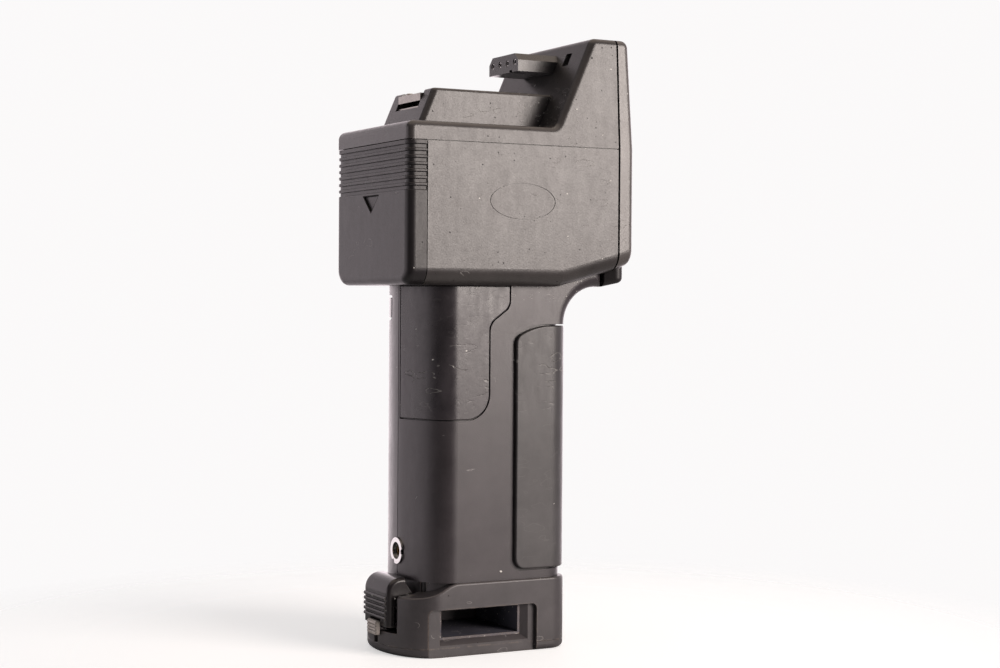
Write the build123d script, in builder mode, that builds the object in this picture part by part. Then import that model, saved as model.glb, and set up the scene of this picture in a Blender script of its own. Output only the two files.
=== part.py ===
"""Power handle for a docking flash head: a hand grip on a quick-release foot, under a head box
that carries a docking rail, a four-pole connector and a slide-down battery cover.

Millimetres. +X is forwards, +Z is up, and the origin is under the middle of the part, on its sole.
"""

import os

from build123d import *

os.makedirs("parts", exist_ok=True)

# Heights, from the sole up
sole_thickness = 3.3
foot_height = 26.3
grip_height = 105.7
lower_shell_height = 50.4
deck_rise = 6.6
wedge_rise = 33.0

# Joints between mouldings show as fine grooves
seam_width = 0.4
seam_depth = 0.8

# Head box
head_length = 91.5
head_width = 63.0
head_wall = 2.2
belly_radius = 6.0
edge_round = 2.4
badge_length = 26.4
badge_height = 13.0
badge_drop = 20.4
badge_line = 0.25
corner_round = 3.0
chin_run = 22.2
chin_rise = 5.9
chin_drop = 5.6
chin_gap = 0.3
chin_spread = 4.5
chin_corner = 2.6
chin_round = 2.0
wedge_foot_setback = 32.6
wedge_top_setback = 18.2
panel_depth = 6.9
panel_lean = 1.5
face_lean = 2.7
panel_groove = 0.8
groove_depth = 1.4

# Rear cover and battery bay
cover_depth = 7.5
cover_wall = 2.0
slide_gap = 0.3
cover_ridges = 6
ridge_pitch = 2.4
ridge_depth = 0.6
ridge_inset = 1.5
ridge_round = 0.35
arrow_half_width = 6.6
arrow_height = 6.0
arrow_drop = 18.2
arrow_depth = 0.7

# Battery magazine
cell_radius = 7.25
cell_length = 50.5
cell_pitch = 15.0
cap_slot_height = 4.0
cell_clearance = 0.15
magazine_wall = 1.2
magazine_end = 2.0
magazine_cap_thickness = 1.6
magazine_inset = 2.4
bay_floor_gap = 2.8

# Bulkhead and main board
bulkhead_thickness = 2.0
contact_gap = 2.0
contact_plate = 0.8
contact_width = 7.0
contact_height = 14.0
contact_corner = 1.5
board_standoff = 2.4
wire_hole_width = 9.0
wire_hole_height = 7.0
chip_side = 12.0
chip_width = 8.0
chip_height = 14.0
chip_thickness = 3.2
thyristor_width = 12.0
thyristor_height = 5.0
board_can_radius = 3.6
board_can_share = 0.53
transformer_share = 0.65
core_share = 0.6
core_reach = 1.5
board_thickness = 1.6
board_width = 50.0
board_height = 36.0
board_hole_inset = 4.0

# Docking rail, catch and connector
rail_width = 33.6
rail_rise = 13.3
rail_rear_inset = 11.0
rail_rake = 5.7
rail_edge = 1.2
rail_corner = 2.0
notch_width = 19.0
notch_length = 12.0
notch_depth = 6.6
catch_thickness = 0.9
catch_drop = 1.3
catch_travel = 1.6
catch_leg = 2.4
socket_bar_width = 22.7
socket_bar_height = 6.7
socket_bar_drop = 4.3
socket_bar_reach = 16.4
socket_bar_chamfer = 2.6
socket_hole_radius = 1.15
key_width = 2.0
key_height = 1.6
socket_pitch = 5.7
contact_sink = 0.3
hook_slot_width = 4.2
hook_slot_height = 4.6
hook_slot_offset = 18.0

# Grip
grip_setback = 11.3
grip_depth = 57.1
grip_width = 46.0
grip_nose = 12.8
grip_corner = 8.0
grip_wall = 2.6
flare_tuck = 1.4
flare_round = 4.0
palm_depth = 1.0
palm_joint = 0.35
palm_height = 47.8
palm_width = 25.2
palm_wide_width = 33.4
palm_bend = 7.5
palm_bend_drop = 6.0
palm_bend_radius = 5.0
palm_corner = 9.0
palm_seam_gap = 1.5
palm_back_corner = 3.0
palm_edge_round = 0.4
pad_recess_depth = 1.2
pad_recess_setback = 23.4
pad_recess_height = 84.6
pad_climb = 4.4
pad_climb_length = 14.0
pad_corner = 4.0
pad_gap = 2.3
pad_edge_gap = 0.5
pad_stand = 1.7
pad_side_stand = 0.6
pad_round = 0.6
shell_screw_radius = 1.4
shell_boss_radius = 3.2
screw_sink = 9.0

# Sync socket
sync_height = 36.0
sync_radius = 4.77
sync_barrel_radius = 3.9
sync_bore_radius = 3.1
sync_flange = 1.7
sync_length = 6.4

# Power switch on the far side
switch_recess_height = 9.1
switch_recess_top = 3.5
switch_recess_start = 7.0
switch_recess_length = 26.0
switch_gap = 0.9
switch_recess_depth = 1.0
switch_knob_length = 7.0
switch_travel = 5.0
switch_stem = 2.6

# Storage capacitor
capacitor_radius = 16.0
capacitor_length = 68.0
clamp_thickness = 1.4
clamp_width = 10.0

# Foot
foot_setback = 3.0
foot_depth = 67.0
foot_width = 48.0
foot_nose = 15.0
sole_round = 2.0
sole_seam = 0.15
foot_rim = 0.8
sweep_run = 21.8
plinth_inset = 1.5
post_round = 2.0
shoulder_drop = 5.2
pocket_setback = 10.2
pocket_length = 42.8
pocket_height = 17.25
pocket_depth = 1.8
pocket_corner = 2.0
socket_inset = 5.2
socket_length = 32.4
socket_floor = 6.0
socket_height = 11.2
socket_reach = 37.0
sleeve_wall = 0.8
lip_side = 0.7
lip_front = 2.4
lip_base = 1.8
lip_depth = 2.0
foot_screw_radius = 1.5
foot_screw_head = 2.8
foot_screw_sink = 2.2

# Release lever and its lock
lever_width = 20.4
lever_slot_width = 21.6
stem_slot_width = 3.0
stem_slot_depth = 4.2
lock_stem_width = 2.4
lock_stem_height = 2.0
keeper_wall = 2.4
keeper_slot_width = 7.4
keeper_width = 6.4
keeper_height = 2.4
keeper_thickness = 1.0
lever_bottom = 10.0
lever_thickness = 2.6
lever_pin_radius = 0.9
lever_pivot_inset = 7.8
lever_pivot_height = 20.6
lever_ribs = 5
lever_rib_pitch = 1.8
lever_rib_radius = 0.7
lever_rib_base = 3.0
hood_round = 5.5
lever_edge_round = 1.5
bolt_reach = 1.2
lever_coil_pitch = 1.1
lever_coil_length = 5.5
lever_coil_radius = 1.75
lever_wire_radius = 0.3
lock_width = 8.0
lock_height = 5.5
lock_travel = 2.4
lock_gap = 0.4
running_fit = 0.05

# Stations that follow from the sizes above
rear = -head_length / 2
front = head_length / 2
half_head = head_width / 2
grip_top = foot_height + grip_height
head_seam = grip_top + lower_shell_height
deck = head_seam + deck_rise
head_top = deck + wedge_rise
panel_seam = front - panel_depth
cover_seam = rear + cover_depth
slope_start = panel_seam - chin_run
chin_slope = chin_rise / chin_run
wedge_foot = front - wedge_foot_setback
wedge_top = front - wedge_top_setback
wedge_slope = (wedge_top - wedge_foot) / wedge_rise
rail_top = deck + rail_rise
grip_rear = rear + grip_setback
grip_front = grip_rear + grip_depth
half_grip = grip_width / 2
foot_rear = rear + foot_setback
half_foot = foot_width / 2


def head_section(inset, base, top):
    """Cross-section of the head box, inside its skin by the inset, with the belly corners rounded."""
    half = half_head - inset
    with BuildSketch(mode=Mode.PRIVATE) as section:
        with BuildLine():
            Polyline((half, base), (half, top), (-half, top), (-half, base), close=True)
        make_face()
        low_corners = section.vertices().group_by(Axis.Y)[0]
        fillet(low_corners, belly_radius - inset)
    return section.sketch


def handle_plan(inset, back, length, half, nose, corner):
    """Plan of the grip or the foot: a half-ellipse behind, flat sides and rounded front corners."""
    nose_start = back + nose
    side = half - inset
    face = back + length - inset
    with BuildSketch(mode=Mode.PRIVATE) as plan:
        with BuildLine():
            EllipticalCenterArc((nose_start, 0), nose - inset, side, 90, arc_size=180)
            Polyline((nose_start, -side), (face, -side), (face, side), (nose_start, side))
        make_face()
        fillet(plan.vertices().group_by(Axis.X)[-1], corner - inset)
    return plan.sketch


def grip_plan(inset=0.0):
    """Plan of the grip, inside its skin by the inset."""
    return handle_plan(inset, grip_rear, grip_depth, half_grip, grip_nose, grip_corner)


def foot_plan(inset=0.0):
    """Plan of the foot, inside its skin by the inset."""
    return handle_plan(inset, foot_rear, foot_depth, half_foot, foot_nose, grip_corner)


def screws(places, plane_axis, shaft_radius, shaft_length, head_radius, head_height):
    """Like screws with a cheese head, their shafts running along the axis from under the head."""
    group = []
    for place in places:
        with BuildPart(Plane(place, z_dir=plane_axis), mode=Mode.PRIVATE) as screw:
            Cylinder(shaft_radius, shaft_length, align=(Align.CENTER, Align.CENTER, Align.MIN))
            Cylinder(head_radius, head_height, align=(Align.CENTER, Align.CENTER, Align.MAX))
            with BuildSketch(Plane(place, z_dir=plane_axis).offset(-head_height)):
                Rectangle(head_radius * 1.4, head_radius * 0.35)
                Rectangle(head_radius * 0.35, head_radius * 1.4)
            extrude(amount=head_height * 0.5, mode=Mode.SUBTRACT)
        group.append(screw.part)
    return Compound(children=group)


# ---------------------------------------------------------------------------------------------
# Head: lower shell. A tray open at the top and the front, with a narrower frame behind it that
# the rear cover slides over, and a neck hole down into the grip.
# ---------------------------------------------------------------------------------------------
floor = grip_top + head_wall
frame_inset = cover_wall + slide_gap
frame_inner = cover_seam + head_wall
cell_block_half = cell_pitch + cell_radius + cell_clearance + magazine_wall
cell_block_height = cell_pitch + 2 * (cell_radius + cell_clearance + magazine_wall)
bay_floor = floor + bay_floor_gap
bay_top = bay_floor + cell_block_height
neck_length = 26.0
neck_width = 24.0
neck_middle = grip_rear + 0.52 * grip_depth
panel_boss_radius = 3.0
panel_boss_drop = 9.0
panel_boss_side = half_head - head_wall - panel_boss_radius + 0.5
panel_boss_low = grip_top + 14.0
panel_boss_high = head_top - panel_boss_drop
panel_screw_radius = 1.25
boss_length = 11.0
tie_height = head_seam - 2.0
tie_side = 19.0
tie_screw_radius = 1.0
tie_drop = 1.2
tie_lug_gap = 0.1
tie_lug_depth = 5.0
tie_lug_width = 7.0
neck_screw_places = [
    (grip_rear + along * grip_depth, side * (half_grip - grip_wall - 7.0))
    for along in (0.14, 0.84)
    for side in (-1, 1)
]
neck_screw_radius = 1.4
badge_x = (cover_seam + panel_seam) / 2 - 1.0
badge_z = head_seam - badge_drop


def tray_side(back, inset, top):
    """Side view of the tray from a station at the back to the panel, inside its skin by the inset."""
    with BuildSketch(mode=Mode.PRIVATE) as side:
        with BuildLine():
            Polyline(
                (back, top),
                (back, grip_top + inset),
                (slope_start - inset * chin_slope / 2, grip_top + inset),
                (panel_seam, grip_top + chin_rise + inset),
                (panel_seam, top),
                close=True,
            )
        make_face()
    return side.sketch


def low_side_edges(tray, half):
    """The long edges along both sides of a tray's underside."""
    return tray.edges().filter_by(
        lambda edge: abs(abs(edge.center().Y) - half) < 0.01
        and edge.center().Z < grip_top + chin_rise + head_wall
    )


with BuildPart() as tray_space:
    with BuildSketch(Plane.XZ):
        add(tray_side(frame_inner, head_wall, head_seam + 1))
    extrude(amount=half_head - head_wall, both=True)
    fillet(low_side_edges(tray_space, half_head - head_wall), belly_radius - head_wall)

with BuildPart() as head_lower_shell:
    # Outer tray, with the chin rising towards the front
    with BuildSketch(Plane.XZ):
        add(tray_side(cover_seam, 0, head_seam))
    extrude(amount=half_head, both=True)
    fillet(low_side_edges(head_lower_shell, half_head), belly_radius)
    # Fine groove along the joint with the upper shell
    with BuildSketch(Plane.XY.offset(head_seam - seam_width)):
        with Locations(((cover_seam + panel_seam) / 2, 0)):
            Rectangle(panel_seam - cover_seam, head_width)
            Rectangle(panel_seam - cover_seam, head_width - 2 * seam_depth, mode=Mode.SUBTRACT)
    extrude(amount=seam_width, mode=Mode.SUBTRACT)
    # Bare oval place on the near side, with a fine line round it
    with BuildSketch(Plane.XZ.offset(half_head - badge_line)):
        with Locations((badge_x, badge_z)):
            Ellipse(badge_length / 2, badge_height / 2)
            Ellipse(badge_length / 2 - badge_line, badge_height / 2 - badge_line, mode=Mode.SUBTRACT)
    extrude(amount=1, mode=Mode.SUBTRACT)
    # Inner space
    add(tray_space.part, mode=Mode.SUBTRACT)
    # Frame under the rear cover
    with BuildSketch(Plane.YZ.offset(rear + frame_inset)):
        add(head_section(frame_inset, grip_top + frame_inset, head_seam))
    extrude(amount=frame_inner - rear - frame_inset)
    with BuildSketch(Plane.YZ.offset(rear)):
        with Locations((0, (bay_floor + bay_top) / 2)):
            Rectangle(2 * cell_block_half + 1.2, cell_block_height + 1.2)
    extrude(amount=frame_inner + 1 - rear, mode=Mode.SUBTRACT)
    # Bosses for the front panel
    for side in (-1, 1):
        with BuildSketch(Plane.YZ.offset(panel_seam - boss_length)):
            with Locations((side * panel_boss_side, panel_boss_low)):
                Circle(panel_boss_radius)
        extrude(amount=boss_length)
        with BuildSketch(Plane.YZ.offset(panel_seam - boss_length + 1)):
            with Locations((side * panel_boss_side, panel_boss_low)):
                Circle(panel_screw_radius + running_fit)
        extrude(amount=boss_length, mode=Mode.SUBTRACT)
    # Holes for the tie screws, the neck screws and the neck
    with BuildSketch(Plane.YZ.offset(rear)):
        with Locations((-tie_side, tie_height - tie_drop), (tie_side, tie_height - tie_drop)):
            Circle(tie_screw_radius + running_fit)
    extrude(amount=frame_inner + 1 - rear, mode=Mode.SUBTRACT)
    with BuildSketch(Plane.YZ.offset(rear + frame_inset)):
        with Locations((-tie_side, tie_height - tie_drop), (tie_side, tie_height - tie_drop)):
            Circle(2 * tie_screw_radius + running_fit)
    extrude(amount=1.2, mode=Mode.SUBTRACT)
    with BuildSketch(Plane.XY.offset(grip_top - 1)):
        with Locations((neck_middle, 0)):
            RectangleRounded(neck_length, neck_width, 3)
        with Locations(*neck_screw_places):
            Circle(neck_screw_radius + running_fit)
    extrude(amount=head_wall + 2, mode=Mode.SUBTRACT)
head_lower_shell.part.label = "head_lower_shell"
export_step(head_lower_shell.part, "parts/head_lower_shell.step")

# ---------------------------------------------------------------------------------------------
# Head: upper shell. The flat deck, the docking rail with its notch, and the full-width wedge whose
# raked rear face carries the connector.
# ---------------------------------------------------------------------------------------------
rail_rear_low = rear + rail_rear_inset
rail_rear_high = rail_rear_low + rail_rake
rail_slope = rail_rake / rail_rise
notch_floor = rail_top - notch_depth
notch_rear = rail_rear_low + rail_slope * (notch_floor - deck)
notch_front = rail_rear_high + notch_length
bar_top = head_top - socket_bar_drop
bar_bottom = bar_top - socket_bar_height
bar_middle = (bar_top + bar_bottom) / 2
wedge_skin = head_wall * (1 + wedge_slope**2) ** 0.5
leg_front = rail_rear_high + 6.0
leg_side = 5.2


def wedge_x(height):
    """Where the raked rear face of the wedge stands at a height."""
    return wedge_foot + wedge_slope * (height - deck)


bar_rear = wedge_x(bar_middle) - socket_bar_reach
bar_front = wedge_x(bar_top) + wedge_skin + 6.0


def bar_section():
    """Cross-section of the connector bar, with its two upper edges cut off."""
    half = socket_bar_width / 2
    with BuildSketch(mode=Mode.PRIVATE) as section:
        with BuildLine():
            Polyline(
                (-half, bar_bottom),
                (half, bar_bottom),
                (half, bar_top - socket_bar_chamfer),
                (half - socket_bar_chamfer, bar_top),
                (-half + socket_bar_chamfer, bar_top),
                (-half, bar_top - socket_bar_chamfer),
                close=True,
            )
        make_face()
    return section.sketch


with BuildPart() as head_upper_shell:
    # Side view of the deck and wedge, drawn with its rounded corners
    with BuildSketch(Plane.XZ):
        with BuildLine():
            Polyline(
                (rear, head_seam),
                (rear, deck),
                (wedge_foot, deck),
                (wedge_top, head_top),
                (panel_seam - panel_lean, head_top),
                (panel_seam, head_seam),
                close=True,
            )
        side_view = make_face()
        rounded = side_view.vertices().filter_by(
            lambda corner: corner.Y > head_seam + 1 and corner.X < wedge_top + 0.1
        )
        fillet(rounded, corner_round)
    extrude(amount=half_head, both=True)
    skin_edges = head_upper_shell.edges().filter_by(
        lambda edge: abs(edge.center().Y) > half_head - 0.01
        and edge.center().Z > head_seam + 0.01
        and edge.center().X < panel_seam - panel_lean - 0.01
    )
    fillet(skin_edges, edge_round)
    # Docking rail
    with BuildSketch(Plane.XZ):
        with BuildLine():
            Polyline(
                (rail_rear_low, deck),
                (rail_rear_low, deck - head_wall / 2),
                (wedge_x(deck) + 1, deck - head_wall / 2),
                (wedge_x(rail_top) + 1, rail_top),
                (rail_rear_high, rail_top),
                close=True,
            )
        make_face()
    extrude(amount=rail_width / 2, both=True)
    raked_corners = head_upper_shell.edges().filter_by(
        lambda edge: abs(abs(edge.center().Y) - rail_width / 2) < 0.01
        and rail_rear_low < edge.center().X < rail_rear_high
        and edge.center().Z > deck + 1
    )
    fillet(raked_corners, rail_corner)
    rail_edges = head_upper_shell.edges().filter_by(
        lambda edge: edge.center().Z > rail_top - 0.01
        and edge.center().Z < rail_top + 0.01
        and edge.center().X < wedge_x(rail_top) - 1
    )
    fillet(rail_edges, rail_edge)
    # Inner spaces of the deck, the wedge and the rail
    with BuildSketch(Plane.XZ):
        with BuildLine():
            Polyline(
                (rear + head_wall, head_seam - 1),
                (rear + head_wall, deck - head_wall),
                (wedge_x(deck - head_wall) + wedge_skin, deck - head_wall),
                (wedge_x(head_top - head_wall) + wedge_skin, head_top - head_wall),
                (front, head_top - head_wall),
                (front, head_seam - 1),
                close=True,
            )
        make_face()
    extrude(amount=half_head - head_wall, both=True, mode=Mode.SUBTRACT)
    with BuildSketch(Plane.XZ):
        with BuildLine():
            Polyline(
                (notch_rear + head_wall, deck - head_wall - 1),
                (notch_rear + head_wall, notch_floor - head_wall),
                (notch_front + head_wall, notch_floor - head_wall),
                (notch_front + head_wall, rail_top - head_wall),
                (wedge_x(rail_top - head_wall) + wedge_skin + 1, rail_top - head_wall),
                (wedge_x(deck) + wedge_skin + 1, deck - head_wall - 1),
                close=True,
            )
        make_face()
    extrude(amount=rail_width / 2 - head_wall, both=True, mode=Mode.SUBTRACT)
    # Notch at the rear end of the rail, with the slots for the legs of the catch
    with BuildSketch(Plane.XY.offset(notch_floor)):
        with Locations(((notch_front + rail_rear_low - 1) / 2, 0)):
            Rectangle(notch_front - rail_rear_low + 1, notch_width)
    extrude(amount=notch_depth + 1, mode=Mode.SUBTRACT)
    with BuildSketch(Plane.XY.offset(notch_floor - head_wall - 1)):
        with Locations((leg_front - 1, -leg_side), (leg_front - 1, leg_side)):
            Rectangle(catch_thickness + 2 * slide_gap, catch_leg + 2 * slide_gap)
    extrude(amount=head_wall + 2, mode=Mode.SUBTRACT)
    # Window for the connector, and the two slots for the hooks of a docked head
    with BuildSketch(Plane.YZ.offset(bar_rear)):
        add(bar_section())
    extrude(amount=bar_front - bar_rear, mode=Mode.SUBTRACT)
    hook_middle = bar_middle + 1.0
    with BuildSketch(Plane.YZ.offset(wedge_x(hook_middle) - 4)):
        with Locations((-hook_slot_offset, hook_middle), (hook_slot_offset, hook_middle)):
            Rectangle(hook_slot_width, hook_slot_height)
    extrude(amount=9, mode=Mode.SUBTRACT)
    # Bosses for the front panel, and lugs behind the bay frame for the tie screws
    for side in (-1, 1):
        with BuildSketch(Plane.YZ.offset(panel_seam - panel_lean - boss_length)):
            with Locations((side * panel_boss_side, panel_boss_high)):
                Circle(panel_boss_radius)
        extrude(amount=boss_length)
        with BuildSketch(Plane.YZ.offset(panel_seam - panel_lean - boss_length + 1)):
            with Locations((side * panel_boss_side, panel_boss_high)):
                Circle(panel_screw_radius + running_fit)
        extrude(amount=boss_length, mode=Mode.SUBTRACT)
        with BuildSketch(Plane.XY.offset(tie_height - 4)):
            with Locations((frame_inner + tie_lug_gap + tie_lug_depth / 2, side * tie_side)):
                Rectangle(tie_lug_depth, tie_lug_width)
        extrude(amount=deck - head_wall / 2 - tie_height + 4)
        with BuildSketch(Plane.YZ.offset(frame_inner - 1)):
            with Locations((side * tie_side, tie_height - tie_drop)):
                Circle(tie_screw_radius + running_fit)
        extrude(amount=5, mode=Mode.SUBTRACT)
head_upper_shell.part.label = "head_upper_shell"
export_step(head_upper_shell.part, "parts/head_upper_shell.step")

# ---------------------------------------------------------------------------------------------
# Head: front panel, a hollow slab over the whole front, held by four screws. A shallow groove
# runs round its joint with the shells.
# ---------------------------------------------------------------------------------------------
panel_base = grip_top + chin_rise + chin_slope * panel_depth * 0.5


def joint_strip(overrun):
    """Side view of the strip that the groove takes along the leaning joint of the panel."""
    with BuildSketch(mode=Mode.PRIVATE) as strip:
        with BuildLine():
            Polyline(
                (panel_seam, grip_top + chin_rise - overrun),
                (panel_seam, head_seam),
                (panel_seam - panel_lean, head_top + overrun),
                (panel_seam - panel_lean + panel_groove, head_top + overrun),
                (panel_seam + panel_groove, head_seam),
                (panel_seam + panel_groove, grip_top + chin_rise - overrun),
                close=True,
            )
        make_face()
    return strip.sketch


with BuildPart() as groove_core:
    with BuildSketch(Plane.YZ.offset(panel_seam - panel_lean - 1)):
        add(head_section(groove_depth, grip_top + chin_rise + groove_depth, head_top - groove_depth))
    extrude(amount=panel_depth)
    with BuildSketch(Plane.XZ):
        add(joint_strip(1.0))
    extrude(amount=half_head, both=True, mode=Mode.INTERSECT)

with BuildPart() as front_panel:
    with BuildSketch(Plane.XZ):
        with BuildLine():
            Polyline(
                (panel_seam, grip_top + chin_rise),
                (panel_seam, head_seam),
                (panel_seam - panel_lean, head_top),
                (front - face_lean, head_top),
                (front, head_seam),
                (front, panel_base + chin_rise * 0.25),
                close=True,
            )
        panel_side = make_face()
        fillet(panel_side.vertices().filter_by(lambda corner: corner.Y > head_top - 1).sort_by(Axis.X)[-1], 3)
    extrude(amount=half_head, both=True)
    belly_edges = front_panel.edges().filter_by(
        lambda edge: abs(edge.center().Y) > half_head - 0.01
        and edge.center().Z < panel_base + chin_rise * 0.25
        and edge.center().X < front - 0.01
    )
    fillet(belly_edges, belly_radius)
    face_edges = front_panel.faces().filter_by(Axis.X).sort_by(Axis.X)[-1].edges()
    fillet(face_edges.sort_by(Axis.Z)[0], edge_round)
    # Groove along the joint, down to a core set back from the skin
    with BuildSketch(Plane.XZ):
        add(joint_strip(1.0))
    extrude(amount=half_head + 1, both=True, mode=Mode.SUBTRACT)
    add(groove_core.part)
    # Hollow back
    with BuildSketch(Plane.YZ.offset(panel_seam - panel_lean - 1)):
        with Locations((0, (panel_base + head_top) / 2 + 2)):
            RectangleRounded(head_width - 4 * head_wall, head_top - panel_base - 12, 3)
    extrude(amount=panel_depth + 1 - head_wall, mode=Mode.SUBTRACT)
    # Screw holes, sunk for the heads
    for height, lean in ((panel_boss_low, 0.0), (panel_boss_high, face_lean)):
        with BuildSketch(Plane.YZ.offset(panel_seam - panel_lean - 1)):
            with Locations((-panel_boss_side, height), (panel_boss_side, height)):
                Circle(panel_screw_radius + running_fit)
        extrude(amount=panel_depth + 4, mode=Mode.SUBTRACT)
        with BuildSketch(Plane.YZ.offset(front - lean - 1.9)):
            with Locations((-panel_boss_side, height), (panel_boss_side, height)):
                Circle(2 * panel_screw_radius + running_fit)
        extrude(amount=4, mode=Mode.SUBTRACT)
front_panel.part.label = "front_panel"
export_step(front_panel.part, "parts/front_panel.step")

# ---------------------------------------------------------------------------------------------
# Head: chin block, a short rounded strip that closes the gap under the front panel.
# ---------------------------------------------------------------------------------------------
flare_end = panel_seam - 0.8
chin_start = flare_end + chin_gap
chin_end = front - 0.2
chin_half = half_grip + chin_spread


def belly_height(x):
    """Height of the head's underside, which rises ahead of the grip."""
    return grip_top + max(0.0, (x - slope_start) * chin_slope)


with BuildPart() as chin_block:
    with BuildSketch(Plane.XZ):
        with BuildLine():
            Polyline(
                (chin_start, belly_height(chin_start)),
                (chin_end, belly_height(chin_end)),
                (chin_end, belly_height(chin_end) - chin_drop),
                (chin_start, belly_height(chin_start) - chin_drop),
                close=True,
            )
        make_face()
    extrude(amount=half_head, both=True)
    with BuildSketch(Plane.XY.offset(grip_top - chin_drop)):
        with BuildLine():
            Polyline(
                (chin_start, -half_grip),
                (chin_end, -chin_half),
                (chin_end, chin_half),
                (chin_start, half_grip),
                close=True,
            )
        chin_plan = make_face()
        fillet(chin_plan.vertices().group_by(Axis.X)[-1], chin_corner)
    extrude(amount=2 * chin_drop + chin_rise, mode=Mode.INTERSECT)
    under_edges = chin_block.faces().sort_by(Axis.Z)[0].edges().filter_by(
        lambda edge: edge.center().X > chin_start + 0.1
    )
    fillet(under_edges, chin_round)
chin_block.part.label = "chin_block"
export_step(chin_block.part, "parts/chin_block.step")

# ---------------------------------------------------------------------------------------------
# Rear cover: a U-shaped slide over the battery bay, with finger ridges and a sunk arrow.
# ---------------------------------------------------------------------------------------------
cover_top = head_seam - slide_gap


def on_cover_skin(point):
    """Whether a point of the cover lies on its outer skin, seen from above."""
    across = half_head - abs(point.Y)
    behind = point.X - rear
    if max(across, behind) < corner_round:
        reach = ((corner_round - across) ** 2 + (corner_round - behind) ** 2) ** 0.5
        return reach > corner_round - ridge_depth / 2
    return min(across, behind) < ridge_depth / 2


with BuildPart() as rear_cover:
    with BuildSketch(Plane.YZ.offset(rear)):
        add(head_section(0, grip_top, cover_top))
    extrude(amount=cover_depth - slide_gap)
    rear_rim = rear_cover.faces().sort_by(Axis.X)[0].edges().sort_by(Axis.Z)[:-1]
    fillet(rear_rim, corner_round)
    with BuildSketch(Plane.YZ.offset(rear + cover_wall)):
        add(head_section(cover_wall, grip_top + cover_wall, cover_top + 1))
    extrude(amount=cover_depth, mode=Mode.SUBTRACT)
    # Grooves that leave the finger ridges standing
    ridge_top = cover_top - ridge_inset
    for groove in range(cover_ridges + 1):
        groove_z = ridge_top - groove * ridge_pitch
        with BuildSketch(Plane.XY.offset(groove_z - ridge_pitch / 2)):
            with Locations((rear + head_length / 2 - 1, 0)):
                Rectangle(head_length, head_width + 2)
            with Locations((rear + ridge_depth + head_length / 2, 0)):
                RectangleRounded(
                    head_length, head_width - 2 * ridge_depth, corner_round - ridge_depth, mode=Mode.SUBTRACT
                )
        extrude(amount=ridge_pitch / 2, mode=Mode.SUBTRACT)
    # Sunk arrow, pointing the way the cover slides
    arrow_top = cover_top - arrow_drop
    with BuildSketch(Plane.YZ.offset(rear)):
        with BuildLine():
            Polyline(
                (-arrow_half_width, arrow_top),
                (arrow_half_width, arrow_top),
                (0, arrow_top - arrow_height),
                close=True,
            )
        make_face()
    extrude(amount=arrow_depth, mode=Mode.SUBTRACT)
    ridge_foot = ridge_top - (cover_ridges + 0.5) * ridge_pitch
    ridge_rims = rear_cover.edges().filter_by(
        lambda edge: ridge_foot - ridge_round < edge.center().Z < ridge_top + ridge_round
        and edge.bounding_box().size.Z < slide_gap / 10
        and edge.center().X < rear + cover_depth - ridge_depth
        and on_cover_skin(edge @ 0.5)
    )
    fillet(ridge_rims, ridge_round)
rear_cover.part.label = "rear_cover"
export_step(rear_cover.part, "parts/rear_cover.step")

# ---------------------------------------------------------------------------------------------
# Battery magazine: six bores in two layers, a cap with the bridging contacts, and the cells.
# ---------------------------------------------------------------------------------------------
magazine_rear = rear + frame_inset + magazine_inset
bore_length = cell_length + 2 * contact_gap
magazine_front = magazine_rear + magazine_cap_thickness + bore_length + magazine_end
bay_middle = (bay_floor + bay_top) / 2
cell_places = [
    (side * cell_pitch, bay_middle + layer * cell_pitch) for side in (-1, 0, 1) for layer in (-0.5, 0.5)
]
body_rear = magazine_rear + magazine_cap_thickness
terminal_radius = 2.5

with BuildPart() as battery_magazine:
    with BuildSketch(Plane.YZ.offset(body_rear)):
        with Locations((0, bay_middle)):
            RectangleRounded(2 * cell_block_half, cell_block_height, 3)
    extrude(amount=magazine_front - body_rear)
    with BuildSketch(Plane.YZ.offset(body_rear)):
        with Locations(*cell_places):
            Circle(cell_radius + cell_clearance)
    extrude(amount=bore_length, mode=Mode.SUBTRACT)
    with BuildSketch(Plane.YZ.offset(magazine_front - magazine_end - 1)):
        with Locations((-cell_pitch, bay_middle), (cell_pitch, bay_middle)):
            Circle(terminal_radius + running_fit)
    extrude(amount=magazine_end + 2, mode=Mode.SUBTRACT)
battery_magazine.part.label = "battery_magazine"
export_step(battery_magazine.part, "parts/battery_magazine.step")

with BuildPart() as magazine_cap:
    with BuildSketch(Plane.YZ.offset(magazine_rear)):
        with Locations((0, bay_middle)):
            RectangleRounded(2 * cell_block_half, cell_block_height, 3)
            Rectangle(2 * cell_pitch, cap_slot_height, mode=Mode.SUBTRACT)
    extrude(amount=magazine_cap_thickness)
magazine_cap.part.label = "magazine_cap"
export_step(magazine_cap.part, "parts/magazine_cap.step")

cells = []
contacts = []
for place in cell_places:
    with BuildPart() as cell:
        with BuildSketch(Plane.YZ.offset(body_rear + contact_gap)):
            with Locations(place):
                Circle(cell_radius)
        extrude(amount=cell_length - 1.2)
        with BuildSketch(Plane.YZ.offset(body_rear + contact_gap + cell_length - 1.2)):
            with Locations(place):
                Circle(cell_radius * 0.36)
        extrude(amount=1.2)
    cells.append(cell.part)
    with BuildPart() as contact:
        with BuildSketch(Plane.YZ.offset(body_rear)):
            with Locations(place):
                Circle(cell_radius * 0.8)
        extrude(amount=0.4)
        with BuildSketch(Plane.YZ.offset(body_rear + 0.4)):
            with Locations(place):
                Circle(cell_radius * 0.5)
                Circle(cell_radius * 0.4, mode=Mode.SUBTRACT)
        extrude(amount=contact_gap - 0.4)
    contacts.append(contact.part)
battery_cells = Compound(label="battery_cells", children=cells)
export_step(battery_cells, "parts/battery_cells.step")
cell_contacts = Compound(label="cell_contacts", children=contacts)
export_step(cell_contacts, "parts/cell_contacts.step")

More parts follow.
